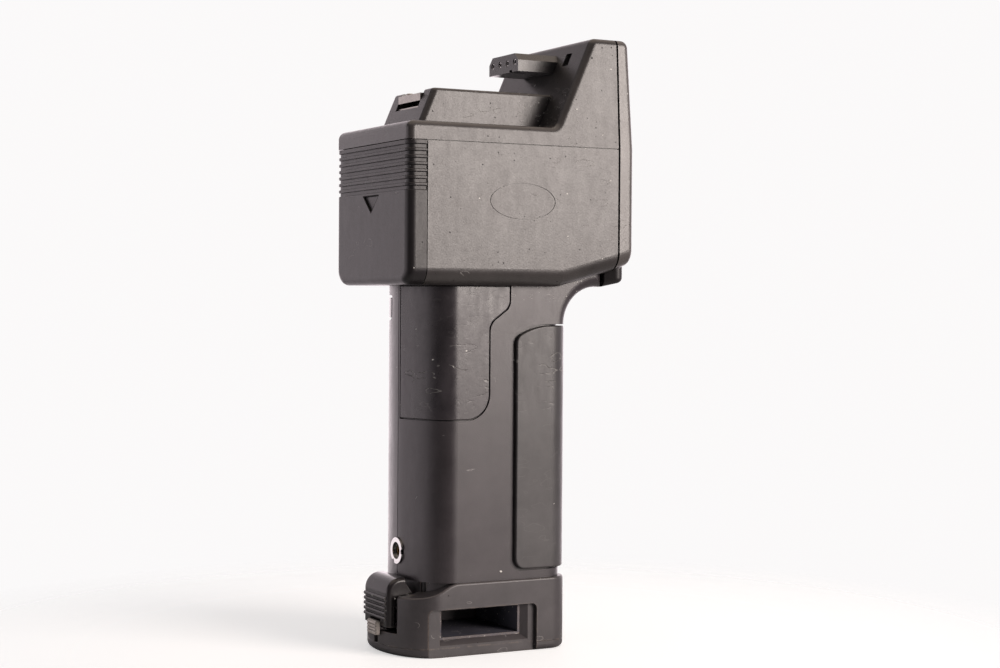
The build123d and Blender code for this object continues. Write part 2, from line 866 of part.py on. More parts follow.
# Two studs through the front wall of the magazine, which press on the leaves of the bulkhead
bulkhead_rear = magazine_front + contact_gap

with BuildPart() as magazine_terminals:
    with BuildSketch(Plane.YZ.offset(magazine_front - magazine_end - 0.8)):
        with Locations((-cell_pitch, bay_middle), (cell_pitch, bay_middle)):
            Circle(terminal_radius)
    extrude(amount=bulkhead_rear - 0.8 - magazine_front + magazine_end + 0.8)
magazine_terminals.part.label = "magazine_terminals"
export_step(magazine_terminals.part, "parts/magazine_terminals.step")

# ---------------------------------------------------------------------------------------------
# Bulkhead: a cross wall between the battery bay and the electronics, with the bay's two contact
# leaves behind it and the main board on four posts in front of it.
# ---------------------------------------------------------------------------------------------
bulkhead_front = bulkhead_rear + bulkhead_thickness
board_rear = bulkhead_front + board_standoff
board_front = board_rear + board_thickness
board_base = belly_height(board_front) + head_wall + 2.0
board_middle = board_base + board_height / 2
post_places = [
    (across * (board_width / 2 - board_hole_inset), board_middle + up * (board_height / 2 - board_hole_inset))
    for across in (-1, 1)
    for up in (-1, 1)
]
post_radius = 2.2
board_screw_radius = 0.9

with BuildPart() as bulkhead:
    add(tray_space.part)
    with BuildSketch(Plane.YZ.offset(bulkhead_rear)):
        with Locations((0, grip_top)):
            Rectangle(head_width, lower_shell_height, align=(Align.CENTER, Align.MIN))
        with Locations((0, belly_height(bulkhead_front) + head_wall)):
            Rectangle(wire_hole_width, wire_hole_height, mode=Mode.SUBTRACT)
    extrude(amount=bulkhead_thickness, mode=Mode.INTERSECT)
    with BuildSketch(Plane.YZ.offset(bulkhead_front)):
        with Locations(*post_places):
            Circle(post_radius)
    extrude(amount=board_standoff)
    with BuildSketch(Plane.YZ.offset(bulkhead_rear + 0.5)):
        with Locations(*post_places):
            Circle(board_screw_radius + running_fit)
    extrude(amount=head_length, mode=Mode.SUBTRACT)
bulkhead.part.label = "bulkhead"
export_step(bulkhead.part, "parts/bulkhead.step")

with BuildPart() as bay_contacts:
    with BuildSketch(Plane.YZ.offset(bulkhead_rear - contact_plate)):
        with Locations((-cell_pitch, bay_middle + 3), (cell_pitch, bay_middle + 3)):
            RectangleRounded(contact_width, contact_height, contact_corner)
    extrude(amount=contact_plate)
bay_contacts.part.label = "bay_contacts"
export_step(bay_contacts.part, "parts/bay_contacts.step")

with BuildPart() as main_board:
    with BuildSketch(Plane.YZ.offset(board_rear)):
        with Locations((0, board_middle)):
            Rectangle(board_width, board_height)
        with Locations(*post_places):
            Circle(board_screw_radius + running_fit, mode=Mode.SUBTRACT)
    extrude(amount=board_thickness)
main_board.part.label = "main_board"
export_step(main_board.part, "parts/main_board.step")

board_screws = screws(
    [(board_front, across, up) for across, up in post_places],
    (-1, 0, 0),
    board_screw_radius,
    board_thickness + board_standoff + 1.0,
    2 * board_screw_radius,
    1.1,
)
board_screws.label = "board_screws"
export_step(board_screws, "parts/board_screws.step")

# Transformer: a wound former in a two-legged core, standing on the front of the board
transformer_width = 20.0
transformer_height = 17.0
transformer_side = -8.5
board_room = front - panel_lean - head_wall - board_front
transformer_depth = transformer_share * board_room

with BuildPart() as inverter_transformer:
    with BuildSketch(Plane.YZ.offset(board_front)):
        with Locations((transformer_side, board_middle - 4)):
            Rectangle(transformer_width, transformer_height)
    extrude(amount=transformer_depth)
    with BuildSketch(Plane.XZ.offset(-transformer_side)):
        with Locations((board_front + transformer_depth / 2 + 0.5, board_middle - 4)):
            Rectangle(transformer_depth * core_share, transformer_height * core_share)
    extrude(amount=transformer_width / 2 + core_reach, both=True)
inverter_transformer.part.label = "inverter_transformer"
export_step(inverter_transformer.part, "parts/inverter_transformer.step")

# Parts on the board: a control chip, a thyristor and two small capacitors
with BuildPart() as board_parts:
    with BuildSketch(Plane.YZ.offset(board_front)):
        with Locations((chip_side, board_middle - 8)):
            Rectangle(chip_width, chip_height)
        with Locations((chip_side, board_middle + 8)):
            Rectangle(thyristor_width, thyristor_height)
    extrude(amount=chip_thickness)
    with BuildSketch(Plane.YZ.offset(board_front)):
        with Locations((-4, board_middle + 12), (-14, board_middle + 12)):
            Circle(board_can_radius)
    extrude(amount=board_can_share * board_room)
board_parts.part.label = "board_parts"
export_step(board_parts.part, "parts/board_parts.step")

# Screws that tie the two shells together behind the cover, and that hold the front panel
tie_screws = screws(
    [(rear + frame_inset + 1.2, side * tie_side, tie_height - tie_drop) for side in (-1, 1)],
    (1, 0, 0),
    tie_screw_radius,
    frame_inner + 3 - rear - frame_inset - 1.2,
    2 * tie_screw_radius,
    1.1,
)
tie_screws.label = "tie_screws"
export_step(tie_screws, "parts/tie_screws.step")

panel_screws = screws(
    [
        (front - lean - 1.9, side * panel_boss_side, height)
        for height, lean in ((panel_boss_low, 0.0), (panel_boss_high, face_lean))
        for side in (-1, 1)
    ],
    (-1, 0, 0),
    panel_screw_radius,
    panel_depth + 6.0,
    2 * panel_screw_radius,
    1.4,
)
panel_screws.label = "panel_screws"
export_step(panel_screws, "parts/panel_screws.step")

# ---------------------------------------------------------------------------------------------
# Docking catch: a bent sheet-metal plate on a spring, in a bright tray on the notch floor.
# ---------------------------------------------------------------------------------------------
catch_top = rail_top - catch_drop
catch_half = notch_width / 2 - slide_gap
catch_rear = notch_rear + 1.1
catch_front = notch_front - slide_gap
tray_thickness = 0.7
catch_leg_low = notch_floor - head_wall - catch_travel - 3.0
spring_radius = 2.4
spring_wire = 0.35
spring_x = catch_front - spring_radius - 1.2
leg_slot = [(leg_front - 1, -leg_side), (leg_front - 1, leg_side)]

with BuildPart() as catch_tray:
    with BuildSketch(Plane.XY.offset(notch_floor)):
        with Locations(((catch_rear + notch_front) / 2, 0)):
            Rectangle(notch_front - catch_rear, notch_width)
        with Locations(*leg_slot):
            Rectangle(catch_thickness + 2 * slide_gap, catch_leg + 2 * slide_gap, mode=Mode.SUBTRACT)
    extrude(amount=tray_thickness)
catch_tray.part.label = "catch_tray"
export_step(catch_tray.part, "parts/catch_tray.step")

with BuildPart() as dock_catch:
    with BuildSketch(Plane.XY.offset(catch_top - catch_thickness)):
        with Locations(((catch_rear + catch_front) / 2, 0)):
            Rectangle(catch_front - catch_rear, 2 * catch_half)
    extrude(amount=catch_thickness)
    with BuildSketch(Plane.XY.offset(notch_floor + tray_thickness + slide_gap + catch_travel)):
        with Locations((catch_rear + catch_thickness / 2, 0)):
            Rectangle(catch_thickness, 2 * catch_half)
    extrude(until=Until.NEXT)
    with BuildSketch(Plane.XY.offset(catch_leg_low)):
        with Locations(*leg_slot):
            Rectangle(catch_thickness, catch_leg)
    extrude(until=Until.NEXT)
    with BuildSketch(Plane.XY.offset(notch_floor - head_wall - slide_gap - 1.0)):
        with Locations(*leg_slot):
            Rectangle(catch_thickness, catch_leg + 2.4)
    extrude(amount=1.0)
dock_catch.part.label = "dock_catch"
export_step(dock_catch.part, "parts/dock_catch.step")

with BuildPart() as catch_stud:
    with BuildSketch(Plane.XY.offset(catch_top)):
        with Locations((catch_rear + 2.2, 4.0)):
            Circle(1.5)
    extrude(amount=0.9)
    fillet(catch_stud.edges().sort_by(Axis.Z)[-1], 0.5)
catch_stud.part.label = "catch_stud"
export_step(catch_stud.part, "parts/catch_stud.step")

catch_spring_base = notch_floor + tray_thickness
catch_spring_height = catch_top - catch_thickness - catch_spring_base
with BuildPart() as catch_spring:
    with BuildLine():
        coil = Helix(
            pitch=(catch_spring_height - 2 * spring_wire) / 4,
            height=catch_spring_height - 2 * spring_wire,
            radius=spring_radius - spring_wire,
            center=(spring_x, 0, catch_spring_base + spring_wire),
        )
    with BuildSketch(Plane(coil @ 0, z_dir=coil % 0)):
        Circle(spring_wire)
    sweep(is_frenet=True)
catch_spring.part.label = "catch_spring"
export_step(catch_spring.part, "parts/catch_spring.step")

# ---------------------------------------------------------------------------------------------
# Connector: a bar with four holes that stands out of the raked face, and its four contacts.
# ---------------------------------------------------------------------------------------------
socket_depth = 6.0
hole_places = [((index - 1.5) * socket_pitch, bar_middle + 0.2) for index in range(4)]

with BuildPart() as connector_housing:
    with BuildSketch(Plane.YZ.offset(bar_rear)):
        add(bar_section())
    extrude(amount=bar_front - bar_rear)
    with BuildSketch(Plane.YZ.offset(bar_rear)):
        with Locations(*hole_places):
            Circle(socket_hole_radius)
    extrude(amount=socket_depth, mode=Mode.SUBTRACT)
    with BuildSketch(Plane.YZ.offset(bar_rear)):
        with Locations(*hole_places):
            Circle(socket_hole_radius / 2)
    extrude(amount=bar_front - bar_rear, mode=Mode.SUBTRACT)
    with BuildSketch(Plane.YZ.offset(bar_rear)):
        with Locations((-socket_pitch, bar_bottom)):
            Rectangle(key_width, key_height)
    extrude(amount=socket_depth, mode=Mode.SUBTRACT)
connector_housing.part.label = "connector_housing"
export_step(connector_housing.part, "parts/connector_housing.step")

with BuildPart() as connector_contacts:
    with BuildSketch(Plane.YZ.offset(bar_rear + contact_sink)):
        with Locations(*hole_places):
            Circle(socket_hole_radius)
            Circle(socket_hole_radius * 0.62, mode=Mode.SUBTRACT)
    extrude(amount=socket_depth - 0.4 - contact_sink)
    with BuildSketch(Plane.YZ.offset(bar_rear + socket_depth - 0.4)):
        with Locations(*hole_places):
            Circle(socket_hole_radius)
    extrude(amount=0.4)
    with BuildSketch(Plane.YZ.offset(bar_rear + socket_depth)):
        with Locations(*hole_places):
            Circle(socket_hole_radius / 2)
    extrude(amount=bar_front + 3 - bar_rear - socket_depth)
connector_contacts.part.label = "connector_contacts"
export_step(connector_contacts.part, "parts/connector_contacts.step")

# ---------------------------------------------------------------------------------------------
# Grip: two half shells that meet on the middle plane, with a flare in front up to the head.
# ---------------------------------------------------------------------------------------------
flare_radius = flare_end - grip_front - flare_tuck
flare_start = belly_height(flare_end) - chin_drop - flare_radius
pad_recess_rear = grip_front - pad_recess_setback
pad_recess_base = foot_height + 3.0
pad_rear = pad_recess_rear + pad_gap
palm_base = grip_top - palm_height
palm_edge = grip_rear + palm_width
palm_wide_edge = grip_rear + palm_wide_width
boss_x = (grip_rear + 6.9, grip_front - 8.2)
boss_z = (foot_height + 20.0, grip_top - 13.0)
shell_screw_places = [(along, height) for along in boss_x for height in boss_z]
screw_seat = half_grip - screw_sink
switch_top = grip_top - switch_recess_top
switch_middle = switch_top - switch_recess_height / 2
switch_rear = grip_rear
knob_height = switch_recess_height - 2 * switch_gap - 2 * slide_gap - 1.6
knob_rear = grip_rear + grip_nose + 1.0
foot_screw_places = [
    (along, side * across)
    for along, across in ((grip_rear + 5.0, 13.2), (grip_front - 12.5, 15.8))
    for side in (-1, 1)
]


def palm_outline(growth):
    """Side view of the palm panel: a tall flap, wider at the top, that runs back to the seam."""
    back = grip_rear - 5
    with BuildSketch(mode=Mode.PRIVATE) as outline:
        with BuildLine():
            Polyline(
                (back, grip_top + 1),
                (palm_wide_edge + growth, grip_top + 1),
                (palm_wide_edge + growth, grip_top - palm_bend - growth / 2),
                (palm_edge + growth, grip_top - palm_bend - palm_bend_drop - growth / 2),
                (palm_edge + growth, palm_base - growth),
                (back, palm_base - growth),
                close=True,
            )
        make_face()
        front_corners = outline.vertices().group_by(Axis.X)
        fillet(front_corners[-1].sort_by(Axis.Y)[0], palm_bend_radius - growth)
        fillet(outline.vertices().group_by(Axis.X)[1].sort_by(Axis.Y)[-1], palm_bend_radius + growth)
        fillet(outline.vertices().group_by(Axis.Y)[0].sort_by(Axis.X)[-1], palm_corner + growth)
    return outline.sketch


def pad_outline(growth):
    """Side view of the front pad: its upper edge climbs forward from a rounded corner."""
    share = growth / pad_edge_gap
    left = pad_rear - share * pad_gap
    base = pad_recess_base + pad_edge_gap - growth
    top = pad_recess_base + pad_recess_height - pad_edge_gap + growth
    right = grip_front + 6
    climb_end = left + pad_climb_length
    climb_radius = (pad_climb_length**2 + pad_climb**2) / (2 * pad_climb)
    with BuildSketch(mode=Mode.PRIVATE) as outline:
        with BuildLine():
            Polyline(
                (climb_end, top + pad_climb),
                (right, top + pad_climb),
                (right, base),
                (left, base),
                (left, top),
            )
            RadiusArc((left, top), (climb_end, top + pad_climb), climb_radius)
        make_face()
        rear_corners = outline.vertices().group_by(Axis.X)[0]
        fillet(rear_corners, pad_corner + growth)
    return outline.sketch


def grip_skin(depth, outline, near_edge, far_edge):
    """The outer layer of the grip, to a depth, under a side view and between two places across."""
    with BuildPart(mode=Mode.PRIVATE) as skin:
        with BuildSketch(Plane.XY.offset(foot_height)):
            add(grip_plan(-pad_stand - 1))
            add(grip_plan(depth), mode=Mode.SUBTRACT)
        extrude(amount=grip_height)
        with BuildSketch(Plane.XZ.offset(-far_edge)):
            add(outline)
        extrude(amount=far_edge - near_edge, mode=Mode.INTERSECT)
    return skin.part


with BuildPart() as grip_body:
    with BuildSketch(Plane.XY.offset(foot_height)):
        add(grip_plan())
    extrude(amount=grip_height)
    with BuildSketch(Plane.XZ):
        with BuildLine():
            Polyline(
                (flare_end, belly_height(flare_end) - chin_drop),
                (flare_end, belly_height(flare_end)),
                (slope_start, grip_top),
                (grip_front - 12, grip_top),
                (grip_front - 12, flare_start),
                (grip_front, flare_start),
            )
            RadiusArc(
                (grip_front, flare_start), (flare_end, belly_height(flare_end) - chin_drop), flare_radius
            )
        make_face()
    extrude(amount=half_grip, both=True)
    nose_edges = grip_body.edges().filter_by(
        lambda edge: edge.center().X > grip_front + 0.5
        and edge.center().Z < belly_height(edge.center().X) - 0.5
        and abs(edge.center().Y) > half_grip - 0.01
    )
    fillet(nose_edges, flare_round)

with BuildPart() as grip_space:
    with BuildSketch(Plane.XY.offset(foot_height + grip_wall)):
        add(grip_plan(grip_wall))
    extrude(amount=grip_height)
    flare_inner = flare_radius + grip_wall
    flare_height = grip_top - grip_wall - flare_start
    flare_inner_front = grip_front + flare_radius - (flare_inner**2 - flare_height**2) ** 0.5
    with BuildSketch(Plane.XZ):
        with BuildLine():
            Polyline(
                (flare_inner_front, grip_top - grip_wall),
                (grip_front - 12, grip_top - grip_wall),
                (grip_front - 12, flare_start),
                (grip_front - grip_wall, flare_start),
            )
            RadiusArc(
                (grip_front - grip_wall, flare_start), (flare_inner_front, grip_top - grip_wall), flare_inner
            )
        make_face()
    extrude(amount=half_grip - 2 * grip_wall, both=True)

# Bosses: across the grip for the shell screws, and upright for the foot and head screws
with BuildPart() as grip_bosses:
    with BuildSketch(Plane.XZ):
        with Locations(*shell_screw_places):
            Circle(shell_boss_radius)
    extrude(amount=half_grip - 0.8, both=True)
    with BuildSketch(Plane.XY.offset(foot_height)):
        with Locations(*foot_screw_places):
            Circle(shell_boss_radius)
    extrude(amount=14)
    with BuildSketch(Plane.XY.offset(grip_top - 12)):
        with Locations(*neck_screw_places):
            Circle(shell_boss_radius)
    extrude(amount=12)
    with BuildSketch(Plane.XY.offset(foot_height)):
        add(grip_plan(0.8))
    extrude(amount=grip_height, mode=Mode.INTERSECT)

with BuildPart() as grip_holes:
    with BuildSketch(Plane.XZ.offset(-screw_seat)):
        with Locations(*shell_screw_places):
            Circle(shell_screw_radius + running_fit)
    extrude(amount=screw_seat + 12)
    with BuildSketch(Plane.XZ.offset(-half_grip - 1)):
        with Locations(*shell_screw_places):
            Circle(2 * shell_screw_radius + running_fit)
    extrude(amount=half_grip + 1 - screw_seat)
    with BuildSketch(Plane.XY.offset(foot_height - 1)):
        with Locations(*foot_screw_places):
            Circle(foot_screw_radius + running_fit)
    extrude(amount=12)
    with BuildSketch(Plane.XY.offset(grip_top - 10)):
        with Locations(*neck_screw_places):
            Circle(neck_screw_radius + running_fit)
    extrude(amount=11)
    # Fine groove down the joint of the two halves
    with BuildSketch(Plane.XY.offset(foot_height)):
        with Locations((grip_rear - 1, 0)):
            Rectangle(1 + seam_depth, seam_width, align=(Align.MIN, Align.CENTER))
    extrude(amount=grip_height)
    with BuildSketch(Plane.YZ.offset(grip_rear - 2)):
        with Locations((0, sync_height)):
            Circle(sync_barrel_radius + running_fit)
    extrude(amount=grip_wall + 4)
    with BuildSketch(Plane.YZ.offset(grip_rear - 2)):
        with Locations((0, sync_height)):
            Circle(sync_radius + 0.1)
    extrude(amount=2 + 1.1)

with BuildPart() as grip_whole:
    add(grip_body.part)
    add(grip_space.part, mode=Mode.SUBTRACT)
    add(grip_bosses.part)
    add(grip_holes.part, mode=Mode.SUBTRACT)
    pad_recess = grip_skin(pad_recess_depth, pad_outline(pad_edge_gap), -grip_width, grip_width)
    add(pad_recess, mode=Mode.SUBTRACT)


def palm_layer(growth):
    """The layer that the palm panel fills, larger all round by the growth."""
    with BuildPart(mode=Mode.PRIVATE) as layer:
        add(grip_skin(palm_depth, palm_outline(growth), -half_grip - 5, growth - palm_seam_gap))
        with BuildSketch(Plane.YZ.offset(rear)) as rear_view:
            with Locations((growth - palm_seam_gap, palm_base - growth)):
                Rectangle(head_width, grip_height, align=(Align.MAX, Align.MIN))
            low_corner = rear_view.vertices().group_by(Axis.Z)[0].sort_by(Axis.Y)[-1]
            fillet(low_corner, palm_back_corner + growth)
        extrude(amount=head_length, mode=Mode.INTERSECT)
    return layer.part


with BuildPart() as grip_near_shell:
    add(grip_whole.part)
    split(bisect_by=Plane.XZ, keep=Keep.TOP)
    add(palm_layer(palm_joint), mode=Mode.SUBTRACT)
grip_near_shell.part.label = "grip_near_shell"
export_step(grip_near_shell.part, "parts/grip_near_shell.step")


def switch_outline(gap):
    """Side view of the switch plate's recess, or of the plate with a gap round it."""
    with BuildSketch(mode=Mode.PRIVATE) as outline:
        with Locations((switch_rear + switch_recess_length / 2, switch_middle)):
            RectangleRounded(switch_recess_length - 2 * gap, switch_recess_height - 2 * gap, 1.2 - gap)
    return outline.sketch


with BuildPart() as grip_far_shell:
    add(grip_whole.part)
    split(bisect_by=Plane.XZ, keep=Keep.BOTTOM)
    switch_recess = grip_skin(switch_recess_depth, switch_outline(0), switch_recess_start, grip_width)
    add(switch_recess, mode=Mode.SUBTRACT)
    with BuildSketch(Plane.XZ.offset(-half_grip - 1)):
        with Locations((knob_rear + (switch_knob_length + switch_travel) / 2, switch_middle)):
            Rectangle(switch_travel + switch_stem + 2 * slide_gap, switch_stem + 2 * slide_gap)
    extrude(amount=grip_wall + 2, mode=Mode.SUBTRACT)
grip_far_shell.part.label = "grip_far_shell"
export_step(grip_far_shell.part, "parts/grip_far_shell.step")

def on_palm_skin(edge):
    """Whether an edge lies on the grip's outer skin, ahead of the palm panel's depth."""
    point = edge @ 0.5
    along = grip_rear + grip_nose - point.X
    if along > 0:
        reach = ((along / grip_nose) ** 2 + (point.Y / half_grip) ** 2) ** 0.5
        return reach > 1 - 0.4 * palm_depth / half_grip
    return abs(point.Y) > half_grip - 0.4 * palm_depth


with BuildPart() as palm_panel:
    add(palm_layer(0))
    with BuildSketch(Plane.XY.offset(foot_height)):
        add(grip_plan())
    extrude(amount=grip_height, mode=Mode.INTERSECT)
    palm_rims = palm_panel.edges().filter_by(on_palm_skin)
    fillet(palm_rims, palm_edge_round)
palm_panel.part.label = "palm_panel"
export_step(palm_panel.part, "parts/palm_panel.step")


def on_pad_skin(point):
    """Whether a point of the pad lies on its outer face, seen from above."""
    across = abs(point.Y) - (half_grip - grip_corner)
    ahead = point.X - (grip_front - grip_corner)
    if min(across, ahead) > 0:
        return (across**2 + ahead**2) ** 0.5 > grip_corner + pad_side_stand / 2
    return max(across, ahead) > grip_corner + pad_side_stand / 2


with BuildPart() as front_grip_pad:
    with BuildSketch(Plane.XY.offset(foot_height)):
        add(
            handle_plan(
                0,
                grip_rear - pad_side_stand,
                grip_depth + pad_side_stand + pad_stand,
                half_grip + pad_side_stand,
                grip_nose,
                grip_corner + pad_side_stand,
            )
        )
        add(grip_plan(pad_recess_depth), mode=Mode.SUBTRACT)
    extrude(amount=grip_height)
    with BuildSketch(Plane.XZ):
        add(pad_outline(0))
    extrude(amount=half_grip + 5, both=True, mode=Mode.INTERSECT)
    upright_limit = 0.8 * pad_recess_height
    pad_rims = front_grip_pad.edges().filter_by(
        lambda edge: on_pad_skin(edge @ 0.5)
        and (edge.bounding_box().size.Z < upright_limit or edge.center().X < pad_rear + pad_gap)
    )
    fillet(pad_rims, pad_round)
front_grip_pad.part.label = "front_grip_pad"
export_step(front_grip_pad.part, "parts/front_grip_pad.step")

shell_screws = screws(
    [(along, screw_seat, height) for along, height in shell_screw_places],
    (0, -1, 0),
    shell_screw_radius,
    screw_seat + 10,
    2 * shell_screw_radius,
    1.6,
)
shell_screws.label = "shell_screws"
export_step(shell_screws, "parts/shell_screws.step")

neck_screws = screws(
    [(along, across, floor) for along, across in neck_screw_places],
    (0, 0, -1),
    neck_screw_radius,
    head_wall + 8,
    2 * neck_screw_radius,
    1.6,
)
neck_screws.label = "neck_screws"
export_step(neck_screws, "parts/neck_screws.step")

# ---------------------------------------------------------------------------------------------
# Sync socket: a notched chrome ring, a moulded insulator and a brass sleeve with its pin.
# ---------------------------------------------------------------------------------------------
sync_face = grip_rear - 0.6
sync_seat = sync_face + sync_flange

with BuildPart() as sync_ring:
    with BuildSketch(Plane.YZ.offset(sync_face)):
        with Locations((0, sync_height)):
            Circle(sync_radius)
            Circle(sync_bore_radius, mode=Mode.SUBTRACT)
        with Locations((-sync_radius, sync_height), (sync_radius * 0.5, sync_height - sync_radius * 0.87)):
            Circle(0.95, mode=Mode.SUBTRACT)
    extrude(amount=sync_flange)
    with BuildSketch(Plane.YZ.offset(sync_seat)):
        with Locations((0, sync_height)):
            Circle(sync_barrel_radius)
            Circle(sync_bore_radius, mode=Mode.SUBTRACT)
    extrude(amount=sync_length - sync_flange)
sync_ring.part.label = "sync_ring"
export_step(sync_ring.part, "parts/sync_ring.step")

with BuildPart() as sync_insulator:
    with BuildSketch(Plane.YZ.offset(sync_face + 0.9)):
        with Locations((0, sync_height)):
            Circle(sync_bore_radius)
            Circle(sync_bore_radius * 0.62, mode=Mode.SUBTRACT)
    extrude(amount=sync_length - 1.6)
    with BuildSketch(Plane.YZ.offset(sync_face + sync_length - 0.7)):
        with Locations((0, sync_height)):
            Circle(sync_bore_radius)
            Circle(sync_bore_radius * 0.22, mode=Mode.SUBTRACT)
    extrude(amount=1.4)
sync_insulator.part.label = "sync_insulator"
export_step(sync_insulator.part, "parts/sync_insulator.step")

with BuildPart() as sync_contacts:
    with BuildSketch(Plane.YZ.offset(sync_face + 1.3)):
        with Locations((0, sync_height)):
            Circle(sync_bore_radius * 0.62)
            Circle(sync_bore_radius * 0.5, mode=Mode.SUBTRACT)
    extrude(amount=sync_length - 2.0)
    with BuildSketch(Plane.YZ.offset(sync_face + 1.8)):
        with Locations((0, sync_height)):
            Circle(sync_bore_radius * 0.22)
    extrude(amount=sync_length)
sync_contacts.part.label = "sync_contacts"
export_step(sync_contacts.part, "parts/sync_contacts.step")

# ---------------------------------------------------------------------------------------------
# Power switch on the far side: a ridged slide in a shallow recess, over a switch body inside.
# ---------------------------------------------------------------------------------------------
knob_middle = knob_rear + switch_knob_length / 2
knob_floor = half_grip - switch_recess_depth + 0.1

with BuildPart() as switch_plate:
    plate_start = switch_recess_start + switch_gap
    add(grip_skin(switch_recess_depth, switch_outline(switch_gap), plate_start, grip_width))
    with BuildSketch(Plane.XY.offset(foot_height)):
        add(grip_plan())
    extrude(amount=grip_height, mode=Mode.INTERSECT)
    with BuildSketch(Plane.XZ.offset(-half_grip - 1)):
        with Locations((knob_middle + switch_travel / 2, switch_middle)):
            Rectangle(switch_knob_length + switch_travel + 2 * slide_gap, knob_height + 2 * slide_gap)
    extrude(amount=switch_recess_depth + 2, mode=Mode.SUBTRACT)
switch_plate.part.label = "switch_plate"
export_step(switch_plate.part, "parts/switch_plate.step")

with BuildPart() as switch_knob:
    with BuildSketch(Plane.XZ.offset(-knob_floor)):
        with Locations((knob_middle, switch_middle)):
            RectangleRounded(switch_knob_length, knob_height, 1.0)
    extrude(amount=-1.5)
    with BuildSketch(Plane.XZ.offset(-knob_floor - 1.5)):
        with GridLocations(1.4, 0, 4, 1):
            with Locations((knob_middle, switch_middle)):
                Rectangle(0.7, knob_height - 1.6)
    extrude(amount=-0.5)
    with BuildSketch(Plane.XZ.offset(-knob_floor)):
        with Locations((knob_middle, switch_middle)):
            Rectangle(switch_stem, switch_stem)
    extrude(amount=knob_floor - half_grip + grip_wall + 1.6)
switch_knob.part.label = "switch_knob"
export_step(switch_knob.part, "parts/switch_knob.step")

with BuildPart() as switch_body:
    with BuildSketch(Plane.XZ.offset(-half_grip + grip_wall)):
        with Locations((knob_middle + switch_travel / 2, switch_middle)):
            Rectangle(switch_travel + 8.8, 8)
            Rectangle(
                switch_travel + switch_stem + 2 * slide_gap, switch_stem + 2 * slide_gap, mode=Mode.SUBTRACT
            )
    extrude(amount=2.0)
    with BuildSketch(Plane.XZ.offset(-half_grip + grip_wall + 2.0)):
        with Locations((knob_middle + switch_travel / 2, switch_middle)):
            Rectangle(switch_travel + 8.8, 8)
    extrude(amount=3.0)
switch_body.part.label = "switch_body"
export_step(switch_body.part, "parts/switch_body.step")

# ---------------------------------------------------------------------------------------------
# Storage capacitor, upright in the grip, in a clamp that reaches both shells.
# ---------------------------------------------------------------------------------------------
capacitor_x = grip_rear + 29.0
capacitor_base = foot_height + 16.5
capacitor_top = capacitor_base + capacitor_length
clamp_base = capacitor_base + capacitor_length * 0.42

with BuildPart() as storage_capacitor:
    with BuildSketch(Plane.XY.offset(capacitor_base)):
        with Locations((capacitor_x, 0)):
            Circle(capacitor_radius)
    extrude(amount=capacitor_length)
    fillet(storage_capacitor.edges(), 1.2)
    with BuildSketch(Plane.XY.offset(capacitor_top)):
        with Locations((capacitor_x - 5, 0), (capacitor_x + 5, 0)):
            Circle(1.4)
    extrude(amount=3.0)
storage_capacitor.part.label = "storage_capacitor"
export_step(storage_capacitor.part, "parts/storage_capacitor.step")

with BuildPart() as capacitor_clamp:
    with BuildSketch(Plane.XY.offset(clamp_base)):
        with Locations((capacitor_x, 0)):
            Rectangle(capacitor_radius, 2 * (half_grip - grip_wall))
            Circle(capacitor_radius + clamp_thickness)
            Circle(capacitor_radius, mode=Mode.SUBTRACT)
    extrude(amount=clamp_width)
capacitor_clamp.part.label = "capacitor_clamp"
export_step(capacitor_clamp.part, "parts/capacitor_clamp.step")

# ---------------------------------------------------------------------------------------------
# Foot: a thick moulded block with a bracket socket on the near side and a lever slot behind.
# ---------------------------------------------------------------------------------------------
pocket_rear = rear + foot_setback + pocket_setback
socket_rear = pocket_rear + socket_inset
pivot_x = foot_rear + lever_pivot_inset
shoulder = foot_height - shoulder_drop
slot_floor = lever_bottom - 2.0
sweep_low = (foot_rear + 2.0, shoulder)
sweep_high = (foot_rear + sweep_run, foot_height)
sweep_middle = (foot_rear + 0.7 * sweep_run, shoulder + 0.55 * shoulder_drop)
slot_front = pivot_x + 3.6
bolt_half = 3.0
bolt_low = lever_bottom + 0.4
bolt_high = bolt_low + 3.4


def on_foot_rim(edge):
    """Whether an edge runs along the top of the foot's outer skin or of the posts by the slot."""
    middle = edge @ 0.5
    on_skin = not foot_plan(plinth_inset / 3).face().is_inside((middle.X, middle.Y, 0))
    on_post = middle.X < foot_rear + 2 * post_round and abs(middle.Y) < lever_slot_width / 2 + 2 * post_round
    return edge.center().Z > shoulder - 0.01 and (on_skin or on_post)


